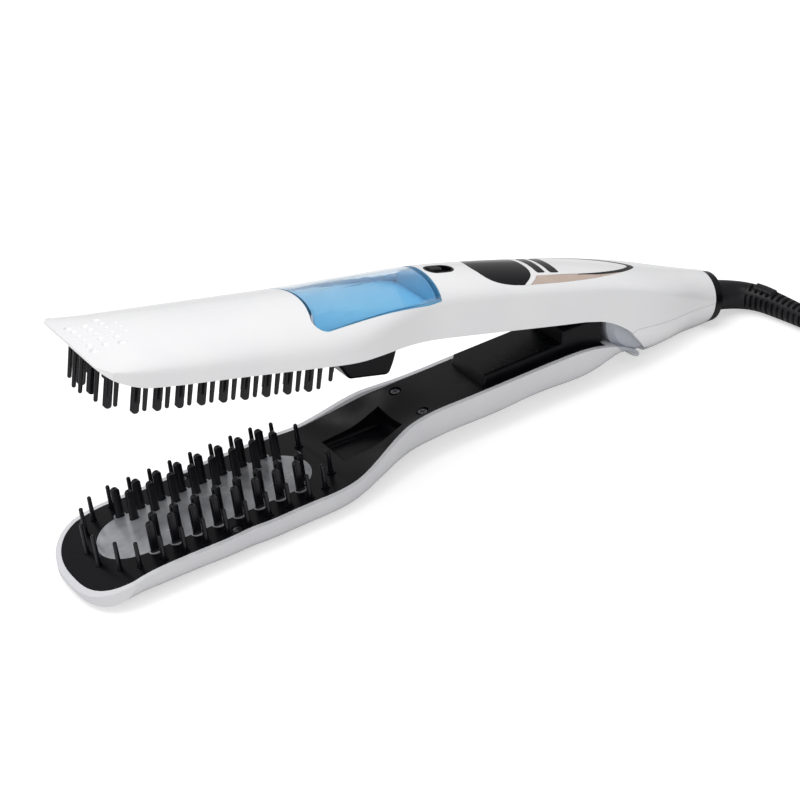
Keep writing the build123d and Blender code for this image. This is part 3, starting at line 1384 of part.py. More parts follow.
def main():
    print("rest tilt", round(math.degrees(REST_TILT), 3), "hinge", round(HINGE_X, 3), round(HINGE_Z, 3))
    for name, make in LOWER_PIECES.items():
        save(name, placed(make(), place_lower))
    for name, make in UPPER_PIECES.items():
        save(name, placed(make(), place_upper))
    for name, make in CORD_PIECES.items():
        save(name, make())


if __name__ == "__main__":
    main()
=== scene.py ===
"""A steam hair straightener on a white sweep: finishes for its moulded parts, its water, boot and cord."""
import logging
import math
from dataclasses import dataclass, field
from enum import Enum
from typing import Any

import bpy
import numpy as np
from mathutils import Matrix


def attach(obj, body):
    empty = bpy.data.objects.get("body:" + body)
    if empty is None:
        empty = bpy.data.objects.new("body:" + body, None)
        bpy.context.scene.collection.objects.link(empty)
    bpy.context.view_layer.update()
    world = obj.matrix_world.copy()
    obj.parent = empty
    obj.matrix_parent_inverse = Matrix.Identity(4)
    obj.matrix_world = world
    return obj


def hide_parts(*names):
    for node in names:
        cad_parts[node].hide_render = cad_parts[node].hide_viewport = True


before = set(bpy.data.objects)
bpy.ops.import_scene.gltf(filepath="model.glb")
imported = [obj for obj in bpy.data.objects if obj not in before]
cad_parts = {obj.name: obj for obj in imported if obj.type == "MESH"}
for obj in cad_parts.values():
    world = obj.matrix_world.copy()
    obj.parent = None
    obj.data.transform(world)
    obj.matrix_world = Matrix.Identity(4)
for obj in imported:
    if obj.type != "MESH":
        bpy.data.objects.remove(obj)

LOG = logging.getLogger("straightener")
MM = 0.001
# A noise texture's values lie mostly between these two.
NOISE_LOW, NOISE_HIGH = 0.3, 0.7
# The main body's lean in radians as it stands open.
BODY_LEAN = 0.27828
# Where the hinge axis is, in millimetres.
HINGE_X, HINGE_Z = 106.91, 22.808
# Roughness of a coat's clear film.
COAT_ROUGHNESS = 0.03


class Slot(Enum):
    """The record's material slots."""

    WHITE = "white_gloss"
    BLACK = "black_satin"
    TANK = "tank_blue"
    PLATE = "plate_grey"
    HEATER = "heater_metal"
    STEEL = "steel"
    RUBBER = "rubber_black"
    LENS = "lens_black"
    BUTTON = "button_grey"
    ROSE = "rose_gold"
    BOARD = "board_green"


class Body(Enum):
    """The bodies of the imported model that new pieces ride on."""

    TANK = "tank"
    CORD = "cord_swivel"


def linear(colour: str) -> tuple[float, float, float, float]:
    """Turn an sRGB hex colour into the shader's linear values.

    Args:
        colour: Six hex digits after a hash sign.

    Returns:
        Linear red, green and blue, and an alpha of 1.
    """
    parts = [int(colour[i:i + 2], 16) / 255 for i in (1, 3, 5)]
    red, green, blue = (c / 12.92 if c <= 0.04045 else ((c + 0.055) / 1.055) ** 2.4 for c in parts)
    return (red, green, blue, 1.0)


def per_metre(size_mm: float) -> float:
    """The texture scale at which one feature is size_mm across in Object coordinates."""
    return 1.0 / (size_mm * MM)


def add_node(tree: bpy.types.NodeTree, kind: str, settings: dict[str, Any] | None = None,
             links: dict[Any, bpy.types.NodeSocket] | None = None) -> bpy.types.Node:
    """Add one node to a tree, set it up and link it.

    Args:
        tree: The tree that takes the node.
        kind: The node's type name.
        settings: Values for its inputs, or for its own properties where no input has the name.
        links: Sockets of other nodes that feed its inputs, by input name or number.

    Returns:
        The new node.
    """
    node = tree.nodes.new(kind)
    for name, value in (settings or {}).items():
        if name in node.inputs:
            node.inputs[name].default_value = value
        else:
            setattr(node, name, value)
    for name, socket in (links or {}).items():
        tree.links.new(socket, node.inputs[name])
    return node


class Zone(Enum):
    """Where a finish takes its second colour, a painted shade."""

    UPRIGHT = "faces that stand along the main body's up axis"
    KNUCKLE = "the barrel round the hinge axis"


@dataclass(frozen=True)
class ShadePatch:
    """A part of a piece painted in another colour as shade, which keeps only a share of its transmission."""

    colour: str
    zone: Zone
    clarity: float = 1.0
    lean: float = BODY_LEAN
    hinge: tuple[float, float, float] = (HINGE_X * MM, 0.0, HINGE_Z * MM)
    barrel: float = 0.0152
    barrel_edge: float = 0.0001
    steep: float = 0.35
    shallow: float = 0.7

    def mask(self, tree: bpy.types.NodeTree, place: bpy.types.Node) -> bpy.types.NodeSocket:
        """Add the nodes that tell where the painted shade is.

        On upright faces the mask rises as the normal's share along the body's up axis falls, painting shade
        on the sides that face away from the light above. At the knuckle it is 1 inside the barrel's radius
        about the hinge axis, painting shade on the barrel.

        Args:
            tree: The material's tree.
            place: Its texture coordinate node.

        Returns:
            A socket that is 1 on the painted shade and 0 elsewhere.
        """
        if self.zone is Zone.UPRIGHT:
            share = add_node(tree, "ShaderNodeVectorMath", {"operation": "DOT_PRODUCT"},
                             {0: place.outputs["Normal"]})
            share.inputs[1].default_value = (math.sin(self.lean), 0.0, math.cos(self.lean))
            size = add_node(tree, "ShaderNodeMath", {"operation": "ABSOLUTE"}, {0: share.outputs["Value"]})
            limits = {"From Min": self.shallow, "From Max": self.steep}
        else:
            away = add_node(tree, "ShaderNodeVectorMath", {"operation": "SUBTRACT"},
                            {0: place.outputs["Object"]})
            away.inputs[1].default_value = self.hinge
            flat = add_node(tree, "ShaderNodeVectorMath", {"operation": "MULTIPLY"},
                            {0: away.outputs["Vector"]})
            flat.inputs[1].default_value = (1.0, 0.0, 1.0)
            size = add_node(tree, "ShaderNodeVectorMath", {"operation": "LENGTH"},
                            {0: flat.outputs["Vector"]})
            limits = {"From Min": self.barrel, "From Max": self.barrel - self.barrel_edge}
        edge = add_node(tree, "ShaderNodeMapRange", limits, {"Value": size.outputs["Value"]})
        return edge.outputs["Result"]


@dataclass(frozen=True)
class Finish:
    """One finish: a base colour that drifts softly into a second one, under a fine surface grain, with
    painted shade where a shade patch is given.
    """

    name: str
    slot: Slot
    colour: str
    drift: str
    roughness: float
    metallic: float = 0.0
    ior: float = 1.5
    specular: float = 0.5
    transmission: float = 0.0
    coat: float = 0.0
    drift_mm: float = 14.0
    grain_mm: float = 0.5
    relief_mm: float = 0.01
    polish_change: float = 0.15
    shade_patch: ShadePatch | None = None

    def material(self) -> bpy.types.Material:
        """Build the finish's node tree once and hand it out again after that.

        Returns:
            The material, its colour and roughness from one noise and its relief from a second.
        """
        found = bpy.data.materials.get(self.name)
        if found:
            return found
        material = bpy.data.materials.new(self.name)
        material.use_nodes = True
        tree = material.node_tree
        shader = tree.nodes["Principled BSDF"]
        coordinates = add_node(tree, "ShaderNodeTexCoord")
        place = coordinates.outputs["Object"]
        soft = add_node(tree, "ShaderNodeTexNoise",
                        {"Scale": per_metre(self.drift_mm), "Detail": 3.0, "Roughness": 0.55},
                        {"Vector": place})
        tone = add_node(tree, "ShaderNodeValToRGB", links={"Fac": soft.outputs["Fac"]})
        tone.color_ramp.elements[0].position = NOISE_LOW
        tone.color_ramp.elements[1].position = NOISE_HIGH
        tone.color_ramp.elements[0].color = linear(self.colour)
        tone.color_ramp.elements[1].color = linear(self.drift)
        colour = tone.outputs["Color"]
        shader.inputs["Transmission Weight"].default_value = self.transmission
        # Painted shade: the patch colour darkens the faces that its mask picks, and there the piece lets less
        # light through.
        if self.shade_patch:
            mask = self.shade_patch.mask(tree, coordinates)
            mixed = add_node(tree, "ShaderNodeMixRGB", {"Color2": linear(self.shade_patch.colour)},
                             {"Fac": mask, "Color1": colour})
            colour = mixed.outputs["Color"]
            if self.shade_patch.clarity < 1.0:
                clear = add_node(tree, "ShaderNodeMapRange",
                                 {"To Min": self.transmission,
                                  "To Max": self.transmission * self.shade_patch.clarity},
                                 {"Value": mask})
                tree.links.new(clear.outputs["Result"], shader.inputs["Transmission Weight"])
        tree.links.new(colour, shader.inputs["Base Color"])
        polish = add_node(tree, "ShaderNodeMapRange",
                          {"From Min": NOISE_LOW, "From Max": NOISE_HIGH,
                           "To Min": self.roughness * (1 - self.polish_change),
                           "To Max": self.roughness * (1 + self.polish_change)},
                          {"Value": soft.outputs["Fac"]})
        tree.links.new(polish.outputs["Result"], shader.inputs["Roughness"])
        grain = add_node(tree, "ShaderNodeTexNoise",
                         {"Scale": per_metre(self.grain_mm), "Detail": 2.0}, {"Vector": place})
        relief = add_node(tree, "ShaderNodeBump", {"Strength": 1.0, "Distance": self.relief_mm * MM},
                          {"Height": grain.outputs["Fac"]})
        tree.links.new(relief.outputs["Normal"], shader.inputs["Normal"])
        shader.inputs["Metallic"].default_value = self.metallic
        shader.inputs["IOR"].default_value = self.ior
        shader.inputs["Specular IOR Level"].default_value = self.specular
        shader.inputs["Coat Weight"].default_value = self.coat
        shader.inputs["Coat Roughness"].default_value = COAT_ROUGHNESS
        return material


# White ABS from a polished mould: a bright, even skin with sharp highlights and the faintest swirl.
WHITE_ABS = Finish("moulded_white_abs", Slot.WHITE, "#F1F1F3", "#F5F5F6", 0.13, ior=1.53, coat=0.2,
                   drift_mm=30.0, grain_mm=6.0, relief_mm=0.004)
# The same ABS on the lower arm, painted darker all over as shade, with painted shade in cool grey on its
# hinge knuckle.
SHADED_LOWER_ABS = Finish("white_abs_painted_shade_lower_arm", Slot.WHITE, "#DDDDE1", "#E3E3E6", 0.15,
                     ior=1.53, coat=0.2, drift_mm=30.0, grain_mm=6.0, relief_mm=0.004,
                     shade_patch=ShadePatch("#BBBFC8", Zone.KNUCKLE))
# Black glass-filled nylon from a fine spark-eroded mould: dark with a cool cast and a soft broad sheen.
BLACK_NYLON = Finish("eroded_black_nylon", Slot.BLACK, "#08080C", "#0C0C11", 0.3, ior=1.45, specular=0.22,
                     drift_mm=9.0, grain_mm=0.35, relief_mm=0.008)
# Black polyphthalamide of the comb teeth, smoother than the covers: small clear highlights on each tip.
BLACK_COMB = Finish("moulded_black_comb", Slot.BLACK, "#0E0E13", "#131318", 0.2, ior=1.5, specular=0.4,
                    drift_mm=7.0, grain_mm=0.5, relief_mm=0.005)
# Tank of clear tinted polycarbonate, clear across its roof; its upright walls get a painted shade of deeper,
# milkier blue.
TANK_CLEAR = Finish("tinted_polycarbonate", Slot.TANK, "#ECF6FD", "#F1F8FD", 0.03, ior=1.4, transmission=1.0,
                    drift_mm=40.0, grain_mm=12.0, relief_mm=0.01, shade_patch=ShadePatch("#74D0F8", Zone.UPRIGHT, 0.35))
# Clear plastic of the valve housing inside the tank: a faint grey-blue edge.
VALVE_CLEAR = Finish("clear_valve_plastic", Slot.TANK, "#9DB0C0", "#AEBECB", 0.05, ior=1.4, transmission=0.4,
                     drift_mm=10.0, grain_mm=3.0, relief_mm=0.01)
# Water: a light blue mass with a flat bright surface; its sides get a painted shade of deeper blue.
WATER = Finish("still_water", Slot.TANK, "#78CFFA", "#8AD8FC", 0.02, ior=1.2, transmission=0.15,
               drift_mm=35.0, grain_mm=9.0, relief_mm=0.05, shade_patch=ShadePatch("#1F93DE", Zone.UPRIGHT))
# Ceramic coat on the heater plates: pale grey with a tight metallic shimmer and slow dark ripples.
CERAMIC = Finish("ceramic_plate_coat", Slot.PLATE, "#A5A6AB", "#CDCED2", 0.22, metallic=0.45,
                 drift_mm=11.0, grain_mm=0.6, relief_mm=0.01, polish_change=0.3)
# Die-cast aluminium of the heater bars: a dull grey casting skin.
CAST_ALUMINIUM = Finish("cast_aluminium", Slot.HEATER, "#9A9CA1", "#A9ABAF", 0.45, metallic=1.0,
                        drift_mm=6.0, grain_mm=0.8, relief_mm=0.04)
# Zinc-plated steel of the pin, the spring and the plug's pins: a bright, slightly brushed grey.
ZINC_STEEL = Finish("zinc_plated_steel", Slot.STEEL, "#A6A8AC", "#B9BBBF", 0.3, metallic=1.0,
                    drift_mm=2.0, grain_mm=0.3, relief_mm=0.01)
# Blackened steel of the screws: a dark oxide with small hard glints.
BLACK_STEEL = Finish("blackened_screw_steel", Slot.STEEL, "#66666C", "#7A7A80", 0.25, metallic=1.0,
                     drift_mm=1.5, grain_mm=0.3, relief_mm=0.01)
# Soft PVC of the cord and its boot: a dark matt skin with a waxy lift.
SOFT_PVC = Finish("soft_black_pvc", Slot.RUBBER, "#131316", "#19191D", 0.4, ior=1.45, specular=0.35,
                  drift_mm=12.0, grain_mm=0.5, relief_mm=0.012)
# Smoked acrylic of the display lens: near black with a mirror-like face.
SMOKED_ACRYLIC = Finish("smoked_acrylic", Slot.LENS, "#0B0B0F", "#0F0F14", 0.05, ior=1.45, specular=0.35,
                        drift_mm=25.0, grain_mm=8.0, relief_mm=0.002)
# Push buttons of dark tinted acrylic: nearly black and softly glossy.
BUTTON_ACRYLIC = Finish("tinted_button_acrylic", Slot.BUTTON, "#1A1819", "#211F20", 0.18, ior=1.45,
                        specular=0.3, drift_mm=5.0, grain_mm=1.5, relief_mm=0.006)
# Rose-gold plating on plastic trim: a warm satin metal.
ROSE_PLATE = Finish("rose_gold_plating", Slot.ROSE, "#E2CBBD", "#EAD6C9", 0.3, metallic=0.5,
                    drift_mm=8.0, grain_mm=0.4, relief_mm=0.006)
# Glass-epoxy circuit boards: green lacquer over the weave, 0.6 mm a thread.
EPOXY_BOARD = Finish("lacquered_epoxy_board", Slot.BOARD, "#1F5A33", "#256A3C", 0.35,
                     drift_mm=4.0, grain_mm=0.6, relief_mm=0.02)


def dress(finish: Finish, *names: str) -> None:
    """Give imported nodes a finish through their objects' material slots.

    Args:
        finish: The finish that they take.
        names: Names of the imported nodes.
    """
    for name in names:
        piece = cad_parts[name]
        if not piece.material_slots:
            piece.data.materials.append(None)
        for slot in piece.material_slots:
            slot.link = "OBJECT"
            slot.material = finish.material()
        LOG.info("%s: %s", name, finish.name)


def grid_mesh(name: str, points: np.ndarray, finish: Finish) -> bpy.types.Object:
    """Turn a grid of points, closed round its second parameter, into a smooth mesh with closed ends.

    A face joins each point to the next one round and the next row. The first and the last row are each
    one place, so they are merged into a pole.

    Args:
        name: The piece's name.
        points: Rows by places round by 3, in metres. Rows run so that faces point outwards.
        finish: The piece's finish.

    Returns:
        The linked mesh object.
    """
    rows, round_count = points.shape[:2]
    inner = points[1:-1].reshape(-1, 3)
    places = np.vstack([points[0, :1], inner, points[-1, :1]])
    row = np.arange(rows - 3)[:, None] * round_count + 1
    here = np.arange(round_count)[None, :]
    after = (here + 1) % round_count
    quads = np.stack([row + here, row + after, row + round_count + after, row + round_count + here], axis=-1)
    last = len(places) - 1
    final = 1 + (rows - 3) * round_count
    first_fan = np.stack([0 * here[0], 1 + after[0], 1 + here[0]], axis=-1)
    last_fan = np.stack([0 * here[0] + last, final + here[0], final + after[0]], axis=-1)
    mesh = bpy.data.meshes.new(name)
    faces = quads.reshape(-1, 4).tolist() + first_fan.tolist() + last_fan.tolist()
    mesh.from_pydata(places.tolist(), [], faces)
    mesh.polygons.foreach_set("use_smooth", np.ones(len(mesh.polygons), dtype=bool))
    mesh.materials.append(finish.material())
    mesh.update()
    piece = bpy.data.objects.new(name, mesh)
    bpy.context.scene.collection.objects.link(piece)
    LOG.info("%s: %d faces", name, len(mesh.polygons))
    return piece


@dataclass
class Lean:
    """The main body's own frame: millimetres from the hinge axis, leant back as it stands open."""

    angle: float = BODY_LEAN
    hinge_x: float = HINGE_X
    hinge_z: float = HINGE_Z

    def place(self, x: np.ndarray, y: np.ndarray, z: np.ndarray) -> np.ndarray:
        """Turn places in the body's own frame about the hinge axis into the shared frame.

        Args:
            x: Millimetres along the body from the hinge axis.
            y: Millimetres to the far side.
            z: Millimetres up from the hinge axis.

        Returns:
            The places in metres, with x, y and z last.
        """
        cosine, sine = math.cos(self.angle), math.sin(self.angle)
        along = self.hinge_x + x * cosine + z * sine
        up = self.hinge_z + z * cosine - x * sine
        return np.stack([along, y + 0 * along, up], axis=-1) * MM


@dataclass
class Tank:
    """The saddle-shaped water tank with its water and its valve housing."""

    lean: Lean = field(default_factory=Lean)
    front_x: float = -161.5
    front_hollow: float = 5.0
    rear_x: float = -103.8
    front_half: float = 22.6
    rear_half: float = 15.2
    corner: float = 4.0
    floor: float = 9.7
    level: float = 16.4
    crown: tuple[tuple[float, float], ...] = ((-165, 19.6), (-141, 21.2), (-120, 23.5), (-102, 25.2))
    shoulder: tuple[tuple[float, float], ...] = ((-165, 6.6), (-152, 6.6), (-128, 12.0), (-102, 17.0))
    wall: float = 2.1
    roof_front_half: float = 28.6
    roof_rear_half: float = 18.4
    roof_power: float = 3.2
    under_roof: float = 0.25
    valve_x: float = -131.0
    valve_half_length: float = 9.5
    valve_half_width: float = 7.0
    valve_squareness: float = 0.35
    valve_sunk: float = 0.05
    count: int = 160
    corner_places: int = 12
    valve_places: int = 64

    def outline(self) -> np.ndarray:
        """Points round the inside of the tank in plan: four sides with rounded corners.

        Each corner is an arc of a quarter turn about a centre set in by the corner radius. The front
        half is then pushed back by the hollow, times one minus the square of y over the half width.

        Returns:
            Places by 2, in millimetres, anticlockwise.
        """
        r = self.corner
        centres = np.array([[self.rear_x - r, self.rear_half - r], [self.front_x + r, self.front_half - r],
                            [self.front_x + r, r - self.front_half], [self.rear_x - r, r - self.rear_half]])
        quarters = np.arange(4) * math.pi / 2
        turn = np.linspace(0, math.pi / 2, self.corner_places)[None, :] + quarters[:, None]
        ring = centres[:, None, :] + r * np.stack([np.cos(turn), np.sin(turn)], axis=-1)
        ring = ring.reshape(-1, 2)
        closed = np.vstack([ring, ring[:1]])
        run = np.concatenate([[0], np.cumsum(np.linalg.norm(np.diff(closed, axis=0), axis=1))])
        at = np.linspace(0, run[-1], self.count, endpoint=False)
        x, y = np.interp(at, run, closed[:, 0]), np.interp(at, run, closed[:, 1])
        middle = (self.front_x + self.rear_x) / 2
        ahead = np.clip((middle - x) / (middle - self.front_x), 0, 1)
        x = x + self.front_hollow * ahead * np.clip(1 - (y / self.front_half) ** 2, 0, 1)
        return np.stack([x, y], axis=-1)

    def roof(self, x: np.ndarray, y: np.ndarray) -> np.ndarray:
        """Height of the tank's inner roof: a crown that falls off to the shoulders by a power of y.

        Args:
            x: Millimetres along the body.
            y: Millimetres to the far side.

        Returns:
            Millimetres up from the hinge axis.
        """
        top = np.interp(x, *np.array(self.crown).T) - self.wall
        low = np.interp(x, *np.array(self.shoulder).T)
        halves = [self.roof_front_half, self.roof_rear_half]
        half = np.interp(x, [self.front_x, self.rear_x], halves) - self.wall
        share = np.clip(np.abs(y) / half, 0, 1)
        return top - (top - low) * share ** self.roof_power

    def water(self) -> bpy.types.Object:
        """Water up to its level: a floor disc, walls on the outline and a top that the roof cuts.

        Returns:
            The water, riding with the tank.
        """
        ring = self.outline()
        centre = ring.mean(axis=0)
        reach = np.array([0.0, 0.5, 0.97, 1.0, 1.0, 1.0, 0.985, 0.85, 0.7, 0.5, 0.25, 0.0])
        rise = np.array([0.0, 0.0, 0.0, 0.06, 0.5, 0.94, 1.0, 1.0, 1.0, 1.0, 1.0, 1.0])
        plan = centre + reach[:, None, None] * (ring - centre)[None, :, :]
        top = np.minimum(self.level, self.roof(plan[..., 0], plan[..., 1]) - self.under_roof)
        height = self.floor + rise[:, None] * (top - self.floor)
        points = self.lean.place(plan[..., 0], plan[..., 1], height)
        piece = grid_mesh("tank_water", points, WATER)
        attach(piece, Body.TANK.value)
        return piece

    def valve(self) -> bpy.types.Object:
        """The valve housing on the tank's floor: a rounded box, stepped in at its top.

        Returns:
            The housing, riding with the tank.
        """
        turn = np.linspace(0, 2 * math.pi, self.valve_places, endpoint=False)
        wide, deep = np.cos(turn), np.sin(turn)
        wide = np.sign(wide) * np.abs(wide) ** self.valve_squareness
        deep = np.sign(deep) * np.abs(deep) ** self.valve_squareness
        reach = np.array([0.0, 0.6, 1.0, 1.0, 0.96, 0.72, 0.7, 0.64, 0.3, 0.0])
        height = np.array([0.0, 0.0, 0.0, 2.6, 3.0, 3.0, 5.2, 5.6, 5.6, 5.6]) + self.floor - self.valve_sunk
        x = self.valve_x + self.valve_half_length * reach[:, None] * wide[None, :]
        y = self.valve_half_width * reach[:, None] * deep[None, :]
        points = self.lean.place(x, y, height[:, None] + 0 * x)
        piece = grid_mesh("tank_valve", points, VALVE_CLEAR)
        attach(piece, Body.TANK.value)
        return piece

    def build(self) -> None:
        """Dress the tank and fill it."""
        dress(TANK_CLEAR, "water_tank")
        dress(WHITE_ABS, "tank_seat")
        dress(SOFT_PVC, "tank_filler_plug", "tank_seal")
        self.water()
        self.valve()


@dataclass
class CombArms:
    """Both arms: white shells, black inner faces, ceramic plates and black comb teeth."""

    shells: tuple[str, ...] = ("upper_shell", "rear_lower_cover")
    covers: tuple[str, ...] = ("lower_inner_cover", "upper_inner_cover", "pump_housing", "barrel_cap",
                               "lower_heater_tray", "upper_heater_tray", "water_pump", "end_ring",
                               "swivel_stem")
    combs: tuple[str, ...] = ("lower_tooth_insert", "upper_tooth_insert", "lower_pin_frame",
                              "upper_pin_frame")
    plates: tuple[str, ...] = ("lower_plate", "upper_plate")
    heaters: tuple[str, ...] = ("lower_heater", "upper_heater")
    screws: tuple[str, ...] = ("head_screws", "neck_screws")
    fasteners: tuple[str, ...] = ("hinge_pin", "hinge_spring", "lower_thermal_fuse", "upper_thermal_fuse")

    def build(self) -> None:
        """Dress the arms' moulded and metal parts."""
        dress(WHITE_ABS, *self.shells)
        # The lower shell takes the white ABS with painted shade on its sides and knuckle.
        dress(SHADED_LOWER_ABS, "lower_shell")
        dress(BLACK_STEEL, *self.screws)
        dress(BLACK_NYLON, *self.covers)
        dress(BLACK_COMB, *self.combs)
        dress(CERAMIC, *self.plates)
        dress(CAST_ALUMINIUM, *self.heaters)
        dress(ZINC_STEEL, *self.fasteners)


@dataclass
class Controls:
    """The lens, inlay, strips, slide switch and push buttons on top of the main body."""

    boards: tuple[str, ...] = ("control_board", "main_board")

    def build(self) -> None:
        """Dress the controls."""
        dress(SMOKED_ACRYLIC, "display_lens")
        dress(WHITE_ABS, "oval_inlay")
        dress(ROSE_PLATE, "trim_strip_near", "trim_strip_far")
        dress(BLACK_NYLON, "slider_bezel", "slider_knob", "control_base", "crescent_trim")
        dress(BUTTON_ACRYLIC, "button_minus", "button_plus")
        dress(EPOXY_BOARD, *self.boards)
        dress(ZINC_STEEL, "tact_switches")


@dataclass
class SwivelCord:
    """The slotted boot, the cord with its put-away coil, and the plug."""

    diameter: float = 6.0
    boot_route: tuple[tuple[float, float, float], ...] = (
        (153.34, 0.0, 10.22), (161.99, 0.0, 7.75), (172.29, -8.7, 5.75), (175.19, -25.4, 5.05),
        (176.79, -44.4, 4.85))
    lead_route: tuple[tuple[float, float, float], ...] = (
        (176.79, -44.4, 4.85), (177.88, -57.35, 4.71), (200.3, -79.3, 3.2), (241.0, -79.3, 3.2))
    tail_route: tuple[tuple[float, float, float], ...] = (
        (253.0, -72.7, 9.8), (266.2, -72.7, 9.8), (282.0, -56.9, 16.6), (282.0, -34.5, 19.7),
        (282.0, -28.5, 19.7))
    coil_x: float = 247.0
    coil_y: float = -32.0
    coil_radius: float = 47.3
    layer: float = 6.6
    half_turns_in: int = 8
    half_turns_out: int = 6
    points_per_half: int = 8
    spline_steps: int = 6
    section_steps: int = 5
    guide_steps: int = 24
    boot_stations: int = 300
    boot_places_round: int = 112
    root_radius: float = 6.9
    end_radius: float = 4.4
    taper_power: float = 0.8
    slot_pitch: float = 3.2
    slot_width: float = 1.3
    slot_depth: float = 1.7
    slots_from: float = 19.0
    slots_to: float = 54.0
    slot_edge: float = 0.12
    slot_reach: float = 0.4
    slot_end: float = 0.05
    tab_middle: float = 27.0
    tab_half: float = 5.6
    tab_height: float = 0.9
    tab_edge: float = 0.8
    tab_reach: float = 0.3
    tab_side: float = 0.08
    rim_round: float = 0.4
    rim_share: float = 0.9
    off_floor: float = 0.05
    length: float = 1.73

    def coil(self) -> np.ndarray:
        """Points of the put-away coil: half turns that shrink inwards, climb a layer and grow out again.

        Each half turn is an arc about the middle of its own diameter. Its points stand out a little, so
        that the spline, which cuts inside them, keeps the arc's radius.

        Returns:
            Places by 3, in millimetres.
        """
        number = np.arange(self.half_turns_in + self.half_turns_out)
        step = self.layer / 2
        radius = self.coil_radius - step * np.minimum(number, 2 * (self.half_turns_in - 1) - number)
        side = np.where(number % 2 == 0, 1.0, -1.0)
        start = np.concatenate([[0.0], np.cumsum(side * 2 * radius)[:-1]]) - self.coil_radius
        middle = start + side * radius
        share = (np.arange(self.points_per_half) + 0.5) / self.points_per_half
        turn = math.pi * share[None, :]
        out = radius[:, None] / math.cos(math.pi / (2 * self.points_per_half)) ** 0.5
        x = self.coil_x + side[:, None] * out * np.sin(turn)
        y = self.coil_y + middle[:, None] - side[:, None] * out * np.cos(turn)
        low = self.lead_route[-1][2]
        climbing = number == self.half_turns_in - 1
        above = number > self.half_turns_in - 1
        rise = np.where(above[:, None], 1.0, np.where(climbing[:, None], share[None, :], 0.0))
        return np.stack([x, y, low + self.layer * rise], axis=-1).reshape(-1, 3)

    def spline(self, name: str, route: np.ndarray, radius: float) -> bpy.types.Object:
        """A smooth open spline with the route's points as its control points.

        Args:
            name: The curve's name.
            route: Places by 3, in millimetres.
            radius: Radius of its round section in millimetres, or 0 for a bare line.

        Returns:
            The linked curve object.
        """
        curve = bpy.data.curves.new(name, "CURVE")
        curve.dimensions = "3D"
        curve.resolution_u = self.spline_steps
        curve.bevel_depth = radius * MM
        curve.bevel_resolution = self.section_steps
        line = curve.splines.new("NURBS")
        line.points.add(len(route) - 1)
        weighted = np.column_stack([route * MM, np.ones(len(route))])
        line.points.foreach_set("co", weighted.ravel())
        line.order_u = 3
        line.use_endpoint_u = True
        piece = bpy.data.objects.new(name, curve)
        bpy.context.scene.collection.objects.link(piece)
        return piece

    def boot_line(self, stations: int) -> tuple[np.ndarray, np.ndarray, np.ndarray]:
        """Read the boot's centre line from its spline at even distances.

        Args:
            stations: How many places to give.

        Returns:
            The places in millimetres, the directions there, and the distance of each from the root.
        """
        guide = self.spline("boot_guide", np.array(self.boot_route), 0.0)
        guide.data.resolution_u = self.guide_steps
        bpy.context.view_layer.update()
        line = bpy.data.meshes.new_from_object(guide.evaluated_get(bpy.context.evaluated_depsgraph_get()))
        flat = np.empty(3 * len(line.vertices))
        line.vertices.foreach_get("co", flat)
        raw = flat.reshape(-1, 3) / MM
        bpy.data.objects.remove(guide)
        bpy.data.meshes.remove(line)
        run = np.concatenate([[0], np.cumsum(np.linalg.norm(np.diff(raw, axis=0), axis=1))])
        at = np.linspace(0, run[-1], stations)
        places = np.stack([np.interp(at, run, raw[:, k]) for k in range(3)], axis=-1)
        ways = np.gradient(places, axis=0)
        return places, ways / np.linalg.norm(ways, axis=1)[:, None], at

    def boot(self) -> bpy.types.Object:
        """The slotted boot: a tapering tube along its line, with staggered slots pressed into it.

        The radius falls by a power of the distance. A slot takes depth off where both a window along
        the boot and a window round it are open, and every second row is half a pitch further on. A tab
        stands out of its top by the product of two such windows.

        Returns:
            The boot, riding with the cord and standing for its plain solid.
        """
        places, ways, at = self.boot_line(self.boot_stations)
        across = np.cross(ways, [0.0, 0.0, 1.0])
        across /= np.linalg.norm(across, axis=1)[:, None]
        up = np.cross(across, ways)
        turn = np.linspace(0, 2 * math.pi, self.boot_places_round, endpoint=False)
        share = at / at[-1]
        radius = self.root_radius + (self.end_radius - self.root_radius) * share ** self.taper_power
        quarter = turn[None, :] / (math.pi / 2)
        row = np.floor(quarter + 0.5)
        off = np.abs(quarter - row)
        shift = np.where(row % 2 == 0, 0.0, self.slot_pitch / 2)
        phase = (at[:, None] - self.slots_from - shift) / self.slot_pitch
        from_middle = np.abs(phase - np.round(phase)) * self.slot_pitch
        edge = self.slot_edge
        along = np.clip((self.slot_width / 2 + edge - from_middle) / (2 * edge), 0, 1)
        span = (at[:, None] > self.slots_from - 1) & (at[:, None] < self.slots_to)
        round_it = np.clip((self.slot_reach - off) / self.slot_end, 0, 1)
        depth = self.slot_depth * along * round_it * span
        tab = np.clip((self.tab_half - np.abs(at[:, None] - self.tab_middle)) / self.tab_edge, 0, 1)
        tab = tab * np.clip((self.tab_reach - np.abs(quarter - 1.0)) / self.tab_side, 0, 1)
        reach = radius[:, None] - depth * (1 - tab) + self.tab_height * tab
        ring = np.cos(turn)[None, :, None] * across[:, None, :] + np.sin(turn)[None, :, None] * up[:, None, :]
        skin = places[:, None, :] + reach[..., None] * ring
        skin[..., 2] = np.maximum(skin[..., 2], self.off_floor)
        tip = places[-1] + ways[-1] * self.rim_round
        rim = tip + self.rim_share * (skin[-1] - places[-1])
        ends = [np.broadcast_to(places[0], skin[0].shape), np.broadcast_to(tip, skin[0].shape)]
        points = np.concatenate([ends[0][None], skin, rim[None], ends[1][None]])
        piece = grid_mesh("cord_boot", points[:, ::-1] * MM, SOFT_PVC)
        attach(piece, Body.CORD.value)
        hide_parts("strain_relief")
        return piece

